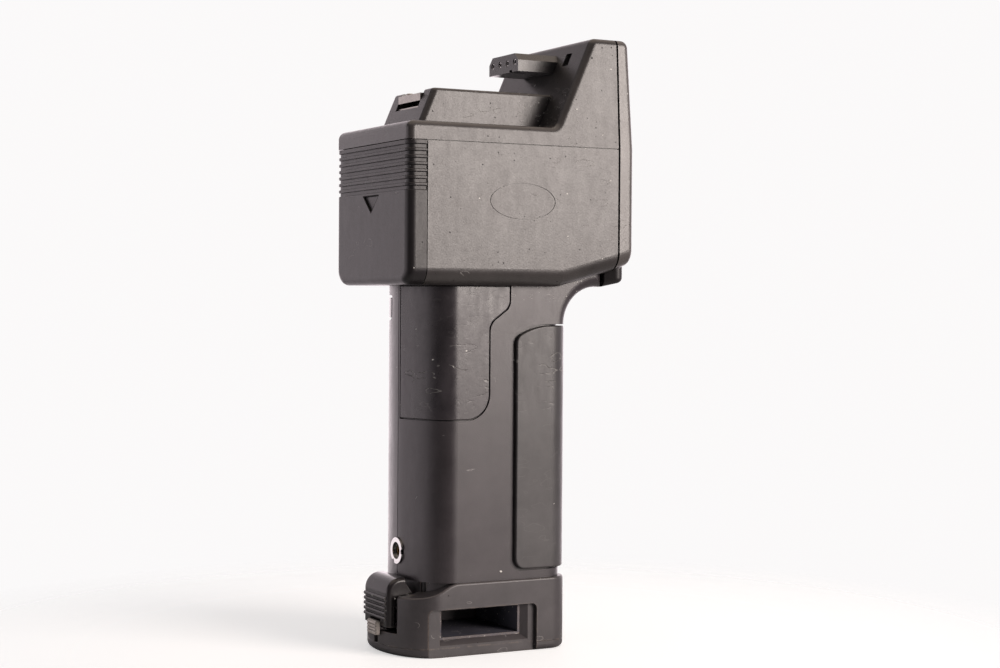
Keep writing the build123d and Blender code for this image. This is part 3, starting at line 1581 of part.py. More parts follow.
with BuildPart() as foot_shell:
    with BuildSketch(Plane.XY.offset(sole_thickness)):
        add(foot_plan())
    extrude(amount=slot_floor - sole_thickness)
    # Slot for the lever, open to the rear and the top, between two rounded posts
    with BuildSketch(Plane.XY.offset(slot_floor)) as upper_plan:
        add(foot_plan())
        with Locations((foot_rear - 1, 0)):
            Rectangle(
                slot_front - foot_rear + 1,
                lever_slot_width,
                align=(Align.MIN, Align.CENTER),
                mode=Mode.SUBTRACT,
            )
        fillet(upper_plan.vertices().group_by(Axis.X)[0], post_round)
    extrude(amount=foot_height - slot_floor)
    # Shoulder that sweeps down round the rear of the grip, with a soft rim
    with BuildSketch(Plane.XZ):
        with BuildLine():
            Spline(sweep_low, sweep_middle, sweep_high, tangents=((1, 0), (1, 0)))
            Polyline(
                sweep_high,
                (sweep_high[0], foot_height + 1),
                (foot_rear - 1, foot_height + 1),
                (foot_rear - 1, shoulder),
                sweep_low,
            )
        make_face()
    extrude(amount=half_foot + 1, both=True, mode=Mode.SUBTRACT)
    top_rim = foot_shell.edges().filter_by(on_foot_rim)
    fillet(top_rim, foot_rim)
    # Plinth under the grip
    with BuildSketch(Plane.XY.offset(shoulder - 1)):
        add(grip_plan(plinth_inset))
        with Locations((foot_rear - 1, 0)):
            Rectangle(
                slot_front - foot_rear + 1,
                lever_slot_width,
                align=(Align.MIN, Align.CENTER),
                mode=Mode.SUBTRACT,
            )
    extrude(amount=foot_height - shoulder + 1)
    # Passage for the bolt
    with BuildSketch(Plane.XY.offset(bolt_low - 2.6)):
        with Locations((slot_front - 1, 0)):
            Rectangle(socket_rear + 1 - slot_front + 1, 2 * bolt_half + 1.6, align=(Align.MIN, Align.CENTER))
    extrude(amount=bolt_high + 1 - bolt_low + 2.6, mode=Mode.SUBTRACT)
    # Bracket socket, its pocket round the mouth and the bevelled lip inside that
    with BuildSketch(Plane.XZ.offset(half_foot + 1)):
        with Locations((socket_rear, socket_floor)):
            Rectangle(socket_length, socket_height, align=(Align.MIN, Align.MIN))
    extrude(amount=-socket_reach - 1, mode=Mode.SUBTRACT)
    with BuildSketch(Plane.XZ.offset(half_foot - pocket_depth)):
        with Locations((pocket_rear, -pocket_corner)):
            RectangleRounded(
                pocket_length, pocket_height + pocket_corner, pocket_corner, align=(Align.MIN, Align.MIN)
            )
    extrude(amount=pocket_depth + 1, mode=Mode.SUBTRACT)
    mouth = half_foot - pocket_depth
    with BuildSketch(Plane.XZ.offset(mouth)):
        with Locations((socket_rear - lip_side, socket_floor - lip_base)):
            Rectangle(
                socket_length + lip_side + lip_front, socket_height + lip_base, align=(Align.MIN, Align.MIN)
            )
    with BuildSketch(Plane.XZ.offset(mouth - lip_depth)):
        with Locations((socket_rear, socket_floor)):
            Rectangle(socket_length, socket_height, align=(Align.MIN, Align.MIN))
    loft(mode=Mode.SUBTRACT)
    # Hole for the lever pin
    with BuildSketch(Plane.XZ):
        with Locations((pivot_x, lever_pivot_height)):
            Circle(lever_pin_radius)
    extrude(amount=lever_slot_width / 2 + 4, both=True, mode=Mode.SUBTRACT)
    # Slot in the rear wall for the stem of the lock
    with BuildSketch(Plane.YZ.offset(foot_rear - 1)):
        with Locations((0, sole_thickness)):
            Rectangle(stem_slot_width, slot_floor + 1 - sole_thickness, align=(Align.CENTER, Align.MIN))
    extrude(amount=stem_slot_depth, mode=Mode.SUBTRACT)
    with BuildSketch(Plane.YZ.offset(foot_rear + keeper_wall)):
        with Locations((0, sole_thickness)):
            Rectangle(keeper_slot_width, slot_floor + 1 - sole_thickness, align=(Align.CENTER, Align.MIN))
    extrude(amount=slot_front - foot_rear - keeper_wall, mode=Mode.SUBTRACT)
    # Screw holes
    with BuildSketch(Plane.XY):
        with Locations(*foot_screw_places):
            Circle(foot_screw_radius + running_fit)
    extrude(amount=foot_height + 1, mode=Mode.SUBTRACT)
foot_shell.part.label = "foot_shell"
export_step(foot_shell.part, "parts/foot_shell.step")

with BuildPart() as sole_plate:
    with BuildSketch():
        add(foot_plan())
    extrude(amount=sole_thickness)
    fillet(sole_plate.faces().sort_by(Axis.Z)[0].outer_wire().edges(), sole_round)
    chamfer(sole_plate.faces().sort_by(Axis.Z)[-1].outer_wire().edges(), sole_seam)
    with BuildSketch(Plane.XZ.offset(half_foot - pocket_depth)):
        with Locations((pocket_rear, 0)):
            Rectangle(pocket_length, pocket_height, align=(Align.MIN, Align.MIN))
    extrude(amount=pocket_depth + 1, mode=Mode.SUBTRACT)
    with BuildSketch(Plane.XY):
        with Locations(*foot_screw_places):
            Circle(foot_screw_radius + running_fit)
    extrude(amount=sole_thickness, mode=Mode.SUBTRACT)
    with BuildSketch(Plane.XY):
        with Locations(*foot_screw_places):
            Circle(foot_screw_head + running_fit)
    extrude(amount=foot_screw_sink, mode=Mode.SUBTRACT)
sole_plate.part.label = "sole_plate"
export_step(sole_plate.part, "parts/sole_plate.step")

foot_screws = screws(
    [(along, across, foot_screw_sink) for along, across in foot_screw_places],
    (0, 0, 1),
    foot_screw_radius,
    foot_height - foot_screw_sink + 9,
    foot_screw_head,
    1.6,
)
foot_screws.label = "foot_screws"
export_step(foot_screws, "parts/foot_screws.step")

# Steel sleeve that lines the bracket socket, with a window for the bolt
with BuildPart() as bracket_sleeve:
    with BuildSketch(Plane.XZ.offset(half_foot - pocket_depth - lip_depth)):
        with Locations((socket_rear, socket_floor)):
            Rectangle(socket_length, socket_height, align=(Align.MIN, Align.MIN))
        with Locations((socket_rear + sleeve_wall, socket_floor + sleeve_wall)):
            Rectangle(
                socket_length - 2 * sleeve_wall,
                socket_height - 2 * sleeve_wall,
                align=(Align.MIN, Align.MIN),
                mode=Mode.SUBTRACT,
            )
    extrude(amount=-(socket_reach - pocket_depth - lip_depth))
    with BuildSketch(Plane.YZ.offset(socket_rear - 1)):
        with Locations((0, (bolt_low + bolt_high) / 2 - 0.6)):
            Rectangle(2 * bolt_half + 1.6, bolt_high - bolt_low + 4.0)
    extrude(amount=sleeve_wall + 2, mode=Mode.SUBTRACT)
bracket_sleeve.part.label = "bracket_sleeve"
export_step(bracket_sleeve.part, "parts/bracket_sleeve.step")

# ---------------------------------------------------------------------------------------------
# Release lever: a hooded plate on a cross pin, whose bolt reaches into the bracket socket.
# ---------------------------------------------------------------------------------------------
lever_face = foot_rear - 0.3
lever_back = lever_face + lever_thickness
hood_top = foot_height + 1.2
hood_end = grip_rear - 1.6

with BuildPart() as release_lever:
    with BuildSketch(Plane.XZ):
        with BuildLine():
            Polyline(
                (lever_face, lever_bottom),
                (lever_face, hood_top),
                (hood_end, hood_top),
                (hood_end, hood_top - 1.8),
                (pivot_x + 1.2, lever_pivot_height + 2.0),
                (pivot_x + 2.2, lever_pivot_height),
                (pivot_x + 1.2, lever_pivot_height - 2.0),
                (lever_back, lever_pivot_height - 3.4),
                (lever_back, lever_bottom),
                close=True,
            )
        lever_side = make_face()
        fillet(lever_side.vertices().group_by(Axis.Y)[-1].sort_by(Axis.X)[0], hood_round)
    extrude(amount=lever_width / 2, both=True)
    hood_rims = release_lever.edges().filter_by(
        lambda edge: abs(abs(edge.center().Y) - lever_width / 2) < 0.01
        and (edge.center().X < lever_face + 2.4 or edge.center().Z > hood_top - 0.1)
        and edge.center().Z > lever_bottom + 1
    )
    fillet(hood_rims, lever_edge_round)
    with BuildSketch(Plane.XZ):
        with Locations((pivot_x, lever_pivot_height)):
            Circle(lever_pin_radius + running_fit)
    extrude(amount=lever_width, both=True, mode=Mode.SUBTRACT)
    # Room in the middle for the spring on the pin
    with BuildSketch(Plane.XZ):
        with Locations((pivot_x, lever_pivot_height)):
            Circle(2.6)
    extrude(amount=3.4, both=True, mode=Mode.SUBTRACT)
    # Notch round the lock, and the bolt
    with BuildSketch(Plane.YZ.offset(lever_face - 1)):
        with Locations((0, lever_bottom - 1)):
            Rectangle(
                lock_width + 2 * lock_gap, 1 + lock_height - 3.1, align=(Align.CENTER, Align.MIN)
            )
    extrude(amount=1 + lever_thickness, mode=Mode.SUBTRACT)
    with BuildSketch(Plane.YZ.offset(lever_back - 0.4)):
        with Locations((0, bolt_low)):
            Rectangle(2 * bolt_half, bolt_high - bolt_low, align=(Align.CENTER, Align.MIN))
    extrude(amount=socket_rear + sleeve_wall + bolt_reach - lever_back + 0.4)
    # Finger ribs
    for rib in range(lever_ribs):
        with BuildSketch(Plane.XZ):
            with Locations((lever_face, lever_bottom + lever_rib_base + rib * lever_rib_pitch)):
                Circle(lever_rib_radius)
        extrude(amount=lever_width / 2 - 1.2, both=True)
release_lever.part.label = "release_lever"
export_step(release_lever.part, "parts/release_lever.step")

with BuildPart() as lever_pin:
    with BuildSketch(Plane.XZ):
        with Locations((pivot_x, lever_pivot_height)):
            Circle(lever_pin_radius)
    extrude(amount=lever_slot_width / 2 + 3.8, both=True)
lever_pin.part.label = "lever_pin"
export_step(lever_pin.part, "parts/lever_pin.step")

with BuildPart() as lever_spring:
    with BuildLine():
        coil = Helix(
            pitch=lever_coil_pitch,
            height=lever_coil_length,
            radius=lever_coil_radius,
            center=(pivot_x, -lever_coil_length / 2, lever_pivot_height),
            direction=(0, 1, 0),
        )
    with BuildSketch(Plane(coil @ 0, z_dir=coil % 0)):
        Circle(lever_wire_radius)
    sweep(is_frenet=True)
lever_spring.part.label = "lever_spring"
export_step(lever_spring.part, "parts/lever_spring.step")

# Lock: a ribbed thumb piece on a stem that runs in the rear wall, kept by a plate inside
lock_base = lever_bottom - 3.5
lock_back = foot_rear - slide_gap
lock_face = lock_back - 1.3
stem_low = sole_thickness + lock_travel + slide_gap

with BuildPart() as lock_slider:
    with BuildSketch(Plane.YZ.offset(lock_face)):
        with Locations((0, lock_base)):
            RectangleRounded(lock_width, lock_height - 0.4, 0.8, align=(Align.CENTER, Align.MIN))
    extrude(amount=lock_back - lock_face)
    for rib in range(4):
        with BuildSketch(Plane.XZ):
            with Locations((lock_face, lock_base + 0.8 + rib * 1.15)):
                Circle(0.4)
        extrude(amount=lock_width / 2 - 0.4, both=True)
    with BuildSketch(Plane.YZ.offset(lock_back)):
        with Locations((0, stem_low)):
            Rectangle(lock_stem_width, lock_stem_height, align=(Align.CENTER, Align.MIN))
    extrude(amount=keeper_wall + 2 * slide_gap)
lock_slider.part.label = "lock_slider"
export_step(lock_slider.part, "parts/lock_slider.step")

with BuildPart() as lock_keeper:
    with BuildSketch(Plane.YZ.offset(lock_back + keeper_wall + 2 * slide_gap)):
        with Locations((0, stem_low - 0.2)):
            Rectangle(keeper_width, keeper_height, align=(Align.CENTER, Align.MIN))
    extrude(amount=keeper_thickness)
lock_keeper.part.label = "lock_keeper"
export_step(lock_keeper.part, "parts/lock_keeper.step")
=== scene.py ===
import math

import bpy
from mathutils import Matrix, Vector


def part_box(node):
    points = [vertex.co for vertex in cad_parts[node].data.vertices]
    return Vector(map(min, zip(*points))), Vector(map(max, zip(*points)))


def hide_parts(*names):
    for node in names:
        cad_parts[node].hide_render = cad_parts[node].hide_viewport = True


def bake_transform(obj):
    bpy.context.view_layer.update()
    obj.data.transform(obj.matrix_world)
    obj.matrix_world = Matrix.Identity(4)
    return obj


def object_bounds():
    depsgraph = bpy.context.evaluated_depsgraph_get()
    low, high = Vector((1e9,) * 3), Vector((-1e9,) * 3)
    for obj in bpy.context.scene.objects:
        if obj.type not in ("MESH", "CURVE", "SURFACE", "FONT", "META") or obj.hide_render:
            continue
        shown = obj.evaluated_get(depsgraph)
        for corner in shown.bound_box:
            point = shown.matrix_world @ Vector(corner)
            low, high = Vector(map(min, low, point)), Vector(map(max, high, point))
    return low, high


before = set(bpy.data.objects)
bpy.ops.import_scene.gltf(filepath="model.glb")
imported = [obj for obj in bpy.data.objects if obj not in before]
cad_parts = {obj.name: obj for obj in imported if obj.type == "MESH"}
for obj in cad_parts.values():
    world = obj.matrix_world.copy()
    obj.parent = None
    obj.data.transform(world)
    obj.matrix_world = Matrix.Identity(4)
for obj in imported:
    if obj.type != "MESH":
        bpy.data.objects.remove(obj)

cad_low, cad_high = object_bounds()
millimetre = 0.001


# ---------------------------------------------------------------------------------------------
# Grip shells: the near and far halves of the hand grip, injection-moulded in black ABS with a
# fine satin texture that handling has polished. Four long screws draw them together.
# ---------------------------------------------------------------------------------------------
def new_material(name):
    """A material with its shader, and the object's own coordinates to lay patterns on."""
    material = bpy.data.materials.new(name)
    material.use_nodes = True
    tree = material.node_tree
    shader = tree.nodes["Principled BSDF"]
    place = tree.nodes.new("ShaderNodeTexCoord").outputs["Object"]
    return material, tree, shader, place


def part_node(tree, kind, inputs=(), **settings):
    """A node of a kind, with its settings, and its sockets filled by a value or a link."""
    node = tree.nodes.new(kind)
    for name, value in settings.items():
        setattr(node, name, value)
    for socket, value in dict(inputs).items():
        if isinstance(value, bpy.types.NodeSocket):
            tree.links.new(value, node.inputs[socket])
        else:
            node.inputs[socket].default_value = value
    return node


def sums(tree, operation, first, second=0.0):
    """The result of one piece of arithmetic on two values."""
    return part_node(tree, "ShaderNodeMath", {0: first, 1: second}, operation=operation).outputs[0]


def between(tree, value, low, high, to_low=0.0, to_high=1.0):
    """A value moved from one range to another, and held at the new range's ends."""
    inputs = {"Value": value, "From Min": low, "From Max": high, "To Min": to_low, "To Max": to_high}
    return part_node(tree, "ShaderNodeMapRange", inputs).outputs["Result"]


def cloudy(tree, place, size, detail=3.0, seed=0.0):
    """Soft patches of a typical size, from 0 to 1."""
    inputs = {"Vector": place, "W": seed, "Scale": 1 / size, "Detail": detail, "Roughness": 0.6}
    return part_node(tree, "ShaderNodeTexNoise", inputs, noise_dimensions="4D").outputs["Fac"]


def wandered(tree, place, size, reach):
    """A place pushed about by soft patches of a size, so that what is laid on it isn't regular."""
    soft = part_node(tree, "ShaderNodeTexNoise", {"Vector": place, "Scale": 1 / size}).outputs["Color"]
    push = part_node(tree, "ShaderNodeVectorMath", {0: soft, "Scale": reach}, operation="SCALE").outputs[0]
    return part_node(tree, "ShaderNodeVectorMath", {0: place, 1: push}).outputs[0]


def specks(tree, place, spacing, radius, share):
    """Scattered dots of about a radius, in a share of the cells of a spacing."""
    moved = wandered(tree, place, 0.4 * spacing, 0.35 * spacing)
    cells = part_node(tree, "ShaderNodeTexVoronoi", {"Vector": moved, "Scale": 1 / spacing})
    chance = part_node(tree, "ShaderNodeSeparateColor", {0: cells.outputs["Color"]}).outputs[0]
    size = between(tree, chance, 0.0, share, 1.2 * radius / spacing, 0.5 * radius / spacing)
    dot = sums(tree, "LESS_THAN", cells.outputs["Distance"], size)
    kept = sums(tree, "LESS_THAN", chance, share)
    return sums(tree, "MULTIPLY", dot, kept)


def arcs(tree, place, spacing, width, share, seed):
    """Short curved marks, as nails and rings leave: broken pieces of rings of varied radius."""
    flat = part_node(tree, "ShaderNodeMapping", {"Vector": place, "Scale": (1, 1, 2.6)}).outputs[0]
    moved = wandered(tree, flat, spacing / 1.2, 0.9 * spacing)
    cells = part_node(tree, "ShaderNodeTexVoronoi", {"Vector": moved, "Scale": 1 / spacing})
    split = part_node(tree, "ShaderNodeSeparateColor", {0: cells.outputs["Color"]})
    radius = between(tree, split.outputs[1], 0.0, 1.0, 0.15, 0.5)
    offset = sums(tree, "ABSOLUTE", sums(tree, "SUBTRACT", cells.outputs["Distance"], radius))
    line = between(tree, offset, 0.0, width / spacing, 1.0, 0.0)
    kept = sums(tree, "LESS_THAN", split.outputs[0], share)
    broken = between(tree, cloudy(tree, place, spacing * 0.8, 1.0, seed), 0.47, 0.53)
    return sums(tree, "MULTIPLY", sums(tree, "MULTIPLY", line, kept), broken)


def corners(tree, reach):
    """How closed-in a place is, from 0 in the open to 1 deep in a joint or a corner."""
    open_sky = part_node(tree, "ShaderNodeAmbientOcclusion", {"Distance": reach}, samples=6)
    return between(tree, open_sky.outputs["AO"], 0.35, 0.85, 1.0, 0.0)


def worn_edges(tree, place, reach, share):
    """Where handling has rubbed the outer edges, in broken patches."""
    inside = part_node(tree, "ShaderNodeAmbientOcclusion", {"Distance": reach}, samples=4, inside=True)
    edge = between(tree, inside.outputs["AO"], 0.8, 0.5)
    patches = cloudy(tree, place, 2.4 * millimetre, 3.0, 17.0)
    broken = between(tree, patches, 0.7 - 0.4 * share, 0.8 - 0.3 * share)
    return sums(tree, "MULTIPLY", edge, broken)


def blend_colour(tree, share, first, second):
    """One colour over another, by a share."""
    node = tree.nodes.new("ShaderNodeMix")
    node.data_type = "RGBA"
    values = ((node.inputs["Factor"], share), (node.inputs[6], first), (node.inputs[7], second))
    for socket, value in values:
        if isinstance(value, bpy.types.NodeSocket):
            tree.links.new(value, socket)
        else:
            socket.default_value = value
    return node.outputs[2]


def relief(tree, height, depth, under=None):
    """A fine relief of a depth in metres, on top of another one."""
    inputs = {"Height": height, "Distance": depth, "Strength": 1.0}
    if under is not None:
        inputs["Normal"] = under
    return part_node(tree, "ShaderNodeBump", inputs).outputs["Normal"]


def black_moulding(
    name,
    colour,
    roughness,
    grain=0.3 * millimetre,
    grain_depth=0.01 * millimetre,
    dust=0.02,
    joint_dust=0.15,
    pits=0.0,
    scuffs=0.1,
    lint=0.0,
    wear=0.3,
    mottle=0.6,
    scuff_size=7 * millimetre,
    scuff_width=0.2 * millimetre,
    scuff_depth=0.02 * millimetre,
    streaks=0.02,
    shine=0.5,
    rubbed=(0.12, 0.11, 0.105),
    scuffed=None,
    linted=None,
    shade_lines=None,
):
    """Moulded black plastic: tool texture, rubbed edges, scratches, pits, dust, and painted shade in its
    joints and corners.
    """
    material, tree, shader, place = new_material(name)
    shader.inputs["Specular IOR Level"].default_value = shine
    patches = cloudy(tree, place, 16 * millimetre, 4.0, 1.0)
    smears = cloudy(tree, place, 3.5 * millimetre, 3.0, 5.0)
    lighter = (*[channel * (1 + 0.5 * mottle) + 0.003 for channel in colour], 1)
    darker = (*[channel * (1 - 0.4 * mottle) for channel in colour], 1)
    tone = blend_colour(tree, between(tree, patches, 0.3, 0.7), darker, lighter)
    worn = sums(tree, "MULTIPLY", worn_edges(tree, place, 0.7 * millimetre, wear), 0.5)
    tone = blend_colour(tree, worn, tone, (*rubbed, 1))
    marks = arcs(tree, place, scuff_size, scuff_width, scuffs, 11.0)
    if scuffed:
        marks = sums(tree, "MULTIPLY", marks, scuffed(tree, place))
    scratch_grey = (0.26, 0.25, 0.24, 1)
    tone = blend_colour(tree, sums(tree, "MULTIPLY", marks, 0.7), tone, scratch_grey)
    # Painted shade, with grime in the joints: corners and recesses darken towards black by how closed-in
    # they are.
    closed = corners(tree, 1.6 * millimetre)
    corner_shade_and_grime = (0.004, 0.004, 0.004, 1)
    tone = blend_colour(tree, sums(tree, "MULTIPLY", closed, 0.8), tone, corner_shade_and_grime)
    open_dust = specks(tree, place, 3.6 * millimetre, 0.33 * millimetre, 2 * dust)
    caught = specks(tree, place, 1.3 * millimetre, 0.2 * millimetre, joint_dust)
    fine_dust = sums(tree, "MAXIMUM", open_dust, sums(tree, "MULTIPLY", caught, closed))
    if lint:
        fibres = arcs(tree, place, 5 * millimetre, 0.11 * millimetre, lint, 23.0)
        crumbs = specks(tree, place, 1.5 * millimetre, 0.22 * millimetre, lint)
        caught = sums(tree, "MAXIMUM", fibres, crumbs)
        if linted:
            caught = sums(tree, "MULTIPLY", caught, linted(tree, place))
        fine_dust = sums(tree, "MAXIMUM", fine_dust, sums(tree, "MULTIPLY", caught, 0.7))
    dust_grey = (0.62, 0.60, 0.57, 1)
    tone = blend_colour(tree, fine_dust, tone, dust_grey)
    pits_and_shade_lines = specks(tree, place, 2.1 * millimetre, 0.26 * millimetre, pits)
    # Painted shade lines, where a material has them, go in with the pits in the same near black.
    if shade_lines:
        pits_and_shade_lines = sums(tree, "MAXIMUM", pits_and_shade_lines, shade_lines(tree, place))
    pit_and_shade_black = (0.003, 0.003, 0.003, 1)
    tone = blend_colour(tree, pits_and_shade_lines, tone, pit_and_shade_black)
    tree.links.new(tone, shader.inputs["Base Color"])
    finish = sums(tree, "ADD", between(tree, patches, 0.3, 0.7, -0.035 * mottle, 0.035 * mottle), roughness)
    finish = sums(tree, "ADD", finish, between(tree, smears, 0.3, 0.7, -0.02, 0.02))
    long_way = part_node(tree, "ShaderNodeMapping", {"Vector": place, "Scale": (1, 1, 0.22)}).outputs[0]
    rubbing = cloudy(tree, long_way, 2.5 * millimetre, 3.0, 31.0)
    finish = sums(tree, "ADD", finish, between(tree, rubbing, 0.35, 0.65, -streaks, streaks))
    tooth = cloudy(tree, place, grain, 2.0, 7.0)
    finish = sums(tree, "ADD", finish, between(tree, tooth, 0.3, 0.7, -0.04, 0.04))
    finish = sums(tree, "ADD", finish, sums(tree, "MULTIPLY", fine_dust, 0.4))
    finish = sums(tree, "ADD", finish, sums(tree, "MULTIPLY", marks, 0.15))
    finish = sums(tree, "ADD", finish, sums(tree, "MULTIPLY", pits_and_shade_lines, 0.45))
    tree.links.new(finish, shader.inputs["Roughness"])
    texture = relief(tree, tooth, grain_depth)
    texture = relief(tree, sums(tree, "SUBTRACT", fine_dust, marks), scuff_depth, texture)
    tree.links.new(texture, shader.inputs["Normal"])
    return material


def dress(material, *nodes):
    """Gives pieces that already have their shape one finish all over."""
    for node in nodes:
        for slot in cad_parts[node].material_slots:
            slot.material = material


def along(tree, place, axis):
    """One coordinate of a place, in metres."""
    return part_node(tree, "ShaderNodeSeparateXYZ", {0: place}).outputs[axis]


grip_top = 132 * millimetre
fluff_band = 3 * millimetre


def under_head(tree, place):
    """The joint under the head, where crumbs and fluff have lodged."""
    return between(tree, along(tree, place, "Z"), grip_top - 2 * fluff_band, grip_top - fluff_band)


grip_black = black_moulding(
    "grip_black",
    (0.031, 0.026, 0.029),
    0.36,
    grain=0.5 * millimetre,
    grain_depth=0.022 * millimetre,
    dust=0.04,
    scuffs=0.06,
    lint=0.55,
    linted=under_head,
)
dress(grip_black, "grip_near_shell", "grip_far_shell")

# ---------------------------------------------------------------------------------------------
# Palm panel: a thin glossier plate let into the near shell under the heel of the hand. Polished
# by the palm, it has lost its texture and taken on curved scuffs and long rubbed streaks in its finish.
# ---------------------------------------------------------------------------------------------
scuff_height = 100 * millimetre
scuff_core = 3 * millimetre
scuff_reach = 14 * millimetre


def finger_band(tree, place):
    """Where fingers close round the grip, so that nails and rings have marked it most."""
    offset = sums(tree, "ABSOLUTE", sums(tree, "SUBTRACT", along(tree, place, "Z"), scuff_height))
    return between(tree, offset, scuff_core, scuff_reach, 1.0, 0.1)


palm_black = black_moulding(
    "palm_black",
    (0.026, 0.022, 0.025),
    0.32,
    grain=2.2 * millimetre,
    grain_depth=0.03 * millimetre,
    dust=0.07,
    scuffs=1.0,
    wear=0.9,
    mottle=1.3,
    scuff_size=9 * millimetre,
    scuff_width=0.4 * millimetre,
    scuff_depth=0.08 * millimetre,
    streaks=0.05,
    scuffed=finger_band,
)
dress(palm_black, "palm_panel")

# ---------------------------------------------------------------------------------------------
# Front grip pad: a firm rubber cushion glued into the front of both shells for four fingers.
# The rubber is matt and even, with scuffs where rings and nails have rubbed it.
# ---------------------------------------------------------------------------------------------
pad_rubber = black_moulding(
    "pad_rubber",
    (0.028, 0.026, 0.027),
    0.385,
    grain=0.4 * millimetre,
    grain_depth=0.016 * millimetre,
    dust=0.05,
    joint_dust=0.25,
    scuffs=1.0,
    wear=0.6,
    mottle=1.1,
    scuff_size=9 * millimetre,
    scuff_width=0.4 * millimetre,
    scuff_depth=0.07 * millimetre,
    streaks=0.05,
    scuffed=finger_band,
)
dress(pad_rubber, "front_grip_pad")

# ---------------------------------------------------------------------------------------------
# Storage capacitor: an aluminium can in a dark blue shrink sleeve with one pale stripe down its
# negative side, and bare metal on its scored end. It stands upright in the grip.
# ---------------------------------------------------------------------------------------------
def inner_finish(name, colours, share, roughness):
    """A clean inner finish of two colours, one over the other by a share made from its places, with painted
    shade in its corners.
    """
    material, tree, shader, place = new_material(name)
    patches = between(tree, cloudy(tree, place, 4 * millimetre, 3.0, 2.0), 0.3, 0.7)
    tones = []
    for colour in colours:
        darker = (*[channel * 0.8 for channel in colour], 1)
        lighter = (*[min(1, channel * 1.1) for channel in colour], 1)
        tones.append(blend_colour(tree, patches, darker, lighter))
    tone = blend_colour(tree, share(tree, place), *tones)
    # Painted shade: corners and recesses darken towards black by how closed-in they are.
    corner_shade_and_dirt = sums(tree, "MULTIPLY", corners(tree, 1.5 * millimetre), 0.6)
    tone = blend_colour(tree, corner_shade_and_dirt, tone, (0.01, 0.01, 0.01, 1))
    tree.links.new(tone, shader.inputs["Base Color"])
    smears = cloudy(tree, place, 2 * millimetre, 3.0, 5.0)
    finish = between(tree, smears, 0.2, 0.8, roughness - 0.06, roughness + 0.06)
    tree.links.new(finish, shader.inputs["Roughness"])
    texture = cloudy(tree, place, 0.5 * millimetre, 2.0, 7.0)
    tree.links.new(relief(tree, texture, 0.008 * millimetre), shader.inputs["Normal"])
    return material


can_low, can_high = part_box("storage_capacitor")
can_middle = (can_low + can_high) / 2
stripe_half = 3 * millimetre
stud_height = 3 * millimetre
can_lip = 1.5 * millimetre


def bare_or_striped(tree, place):
    """The stripe on the near side of the sleeve and the bare end above its rolled lip."""
    across = sums(tree, "ABSOLUTE", sums(tree, "SUBTRACT", along(tree, place, "X"), can_middle.x))
    near = sums(tree, "LESS_THAN", along(tree, place, "Y"), 0.0)
    stripe = sums(tree, "MULTIPLY", sums(tree, "LESS_THAN", across, stripe_half), near)
    end = sums(tree, "GREATER_THAN", along(tree, place, "Z"), can_high.z - stud_height - can_lip / 4)
    return sums(tree, "MAXIMUM", stripe, end)


sleeve_blue = inner_finish(
    "capacitor_sleeve", ((0.012, 0.016, 0.05), (0.62, 0.62, 0.61)), bare_or_striped, 0.25
)
dress(sleeve_blue, "storage_capacitor")

# ---------------------------------------------------------------------------------------------
# Grey mouldings: the capacitor's clamp, the battery magazine and its cap, the bulkhead and the
# switch body. Plain glass-filled nylon, paler where the moulding gate has left flow marks.
# ---------------------------------------------------------------------------------------------
def flow_marks(tree, place):
    """Long soft streaks as the plastic ran into the mould."""
    stretched = part_node(tree, "ShaderNodeMapping", {"Vector": place, "Scale": (0.25, 1, 1)}).outputs[0]
    return between(tree, cloudy(tree, stretched, 5 * millimetre, 4.0, 9.0), 0.45, 0.75)


nylon_grey = inner_finish("nylon_grey", ((0.13, 0.13, 0.135), (0.19, 0.19, 0.19)), flow_marks, 0.5)
dress(nylon_grey, "capacitor_clamp", "battery_magazine", "bulkhead", "switch_body")
cap_grey = inner_finish("cap_grey", ((0.09, 0.09, 0.092), (0.13, 0.13, 0.13)), flow_marks, 0.42)
dress(cap_grey, "magazine_cap")

# ---------------------------------------------------------------------------------------------
# Power switch: a dark plate let into the far shell, and the ribbed knob that slides in its
# window. Both are smooth black acetal, shinier than the shell round them.
# ---------------------------------------------------------------------------------------------
switch_black = black_moulding(
    "switch_black", (0.014, 0.012, 0.013), 0.3, dust=0.03, joint_dust=0.3, wear=0.6
)
dress(switch_black, "switch_plate", "switch_knob")


# ---------------------------------------------------------------------------------------------
# Sync socket: a chromed brass ring with two notches for a lead's spanner, round a black
# insulator and a brass sleeve and pin that have gone dull.
# ---------------------------------------------------------------------------------------------
def hairlines(tree, place, size, width, share, seed):
    """Thin curved lines, as of scratches or lint: broken level lines of soft patches of a size."""
    field = part_node(
        tree,
        "ShaderNodeTexNoise",
        {"Vector": place, "W": seed, "Scale": 1 / size, "Detail": 0.5, "Distortion": 0.6},
        noise_dimensions="4D",
    ).outputs["Fac"]
    offset = sums(tree, "ABSOLUTE", sums(tree, "SUBTRACT", field, 0.5))
    line = between(tree, offset, 0.0, width / size, 1.0, 0.0)
    patches = cloudy(tree, place, size * 0.7, 2.0, seed + 3)
    gaps = between(tree, patches, 0.75 - 0.5 * share, 0.78 - 0.5 * share)
    return sums(tree, "MULTIPLY", line, gaps)


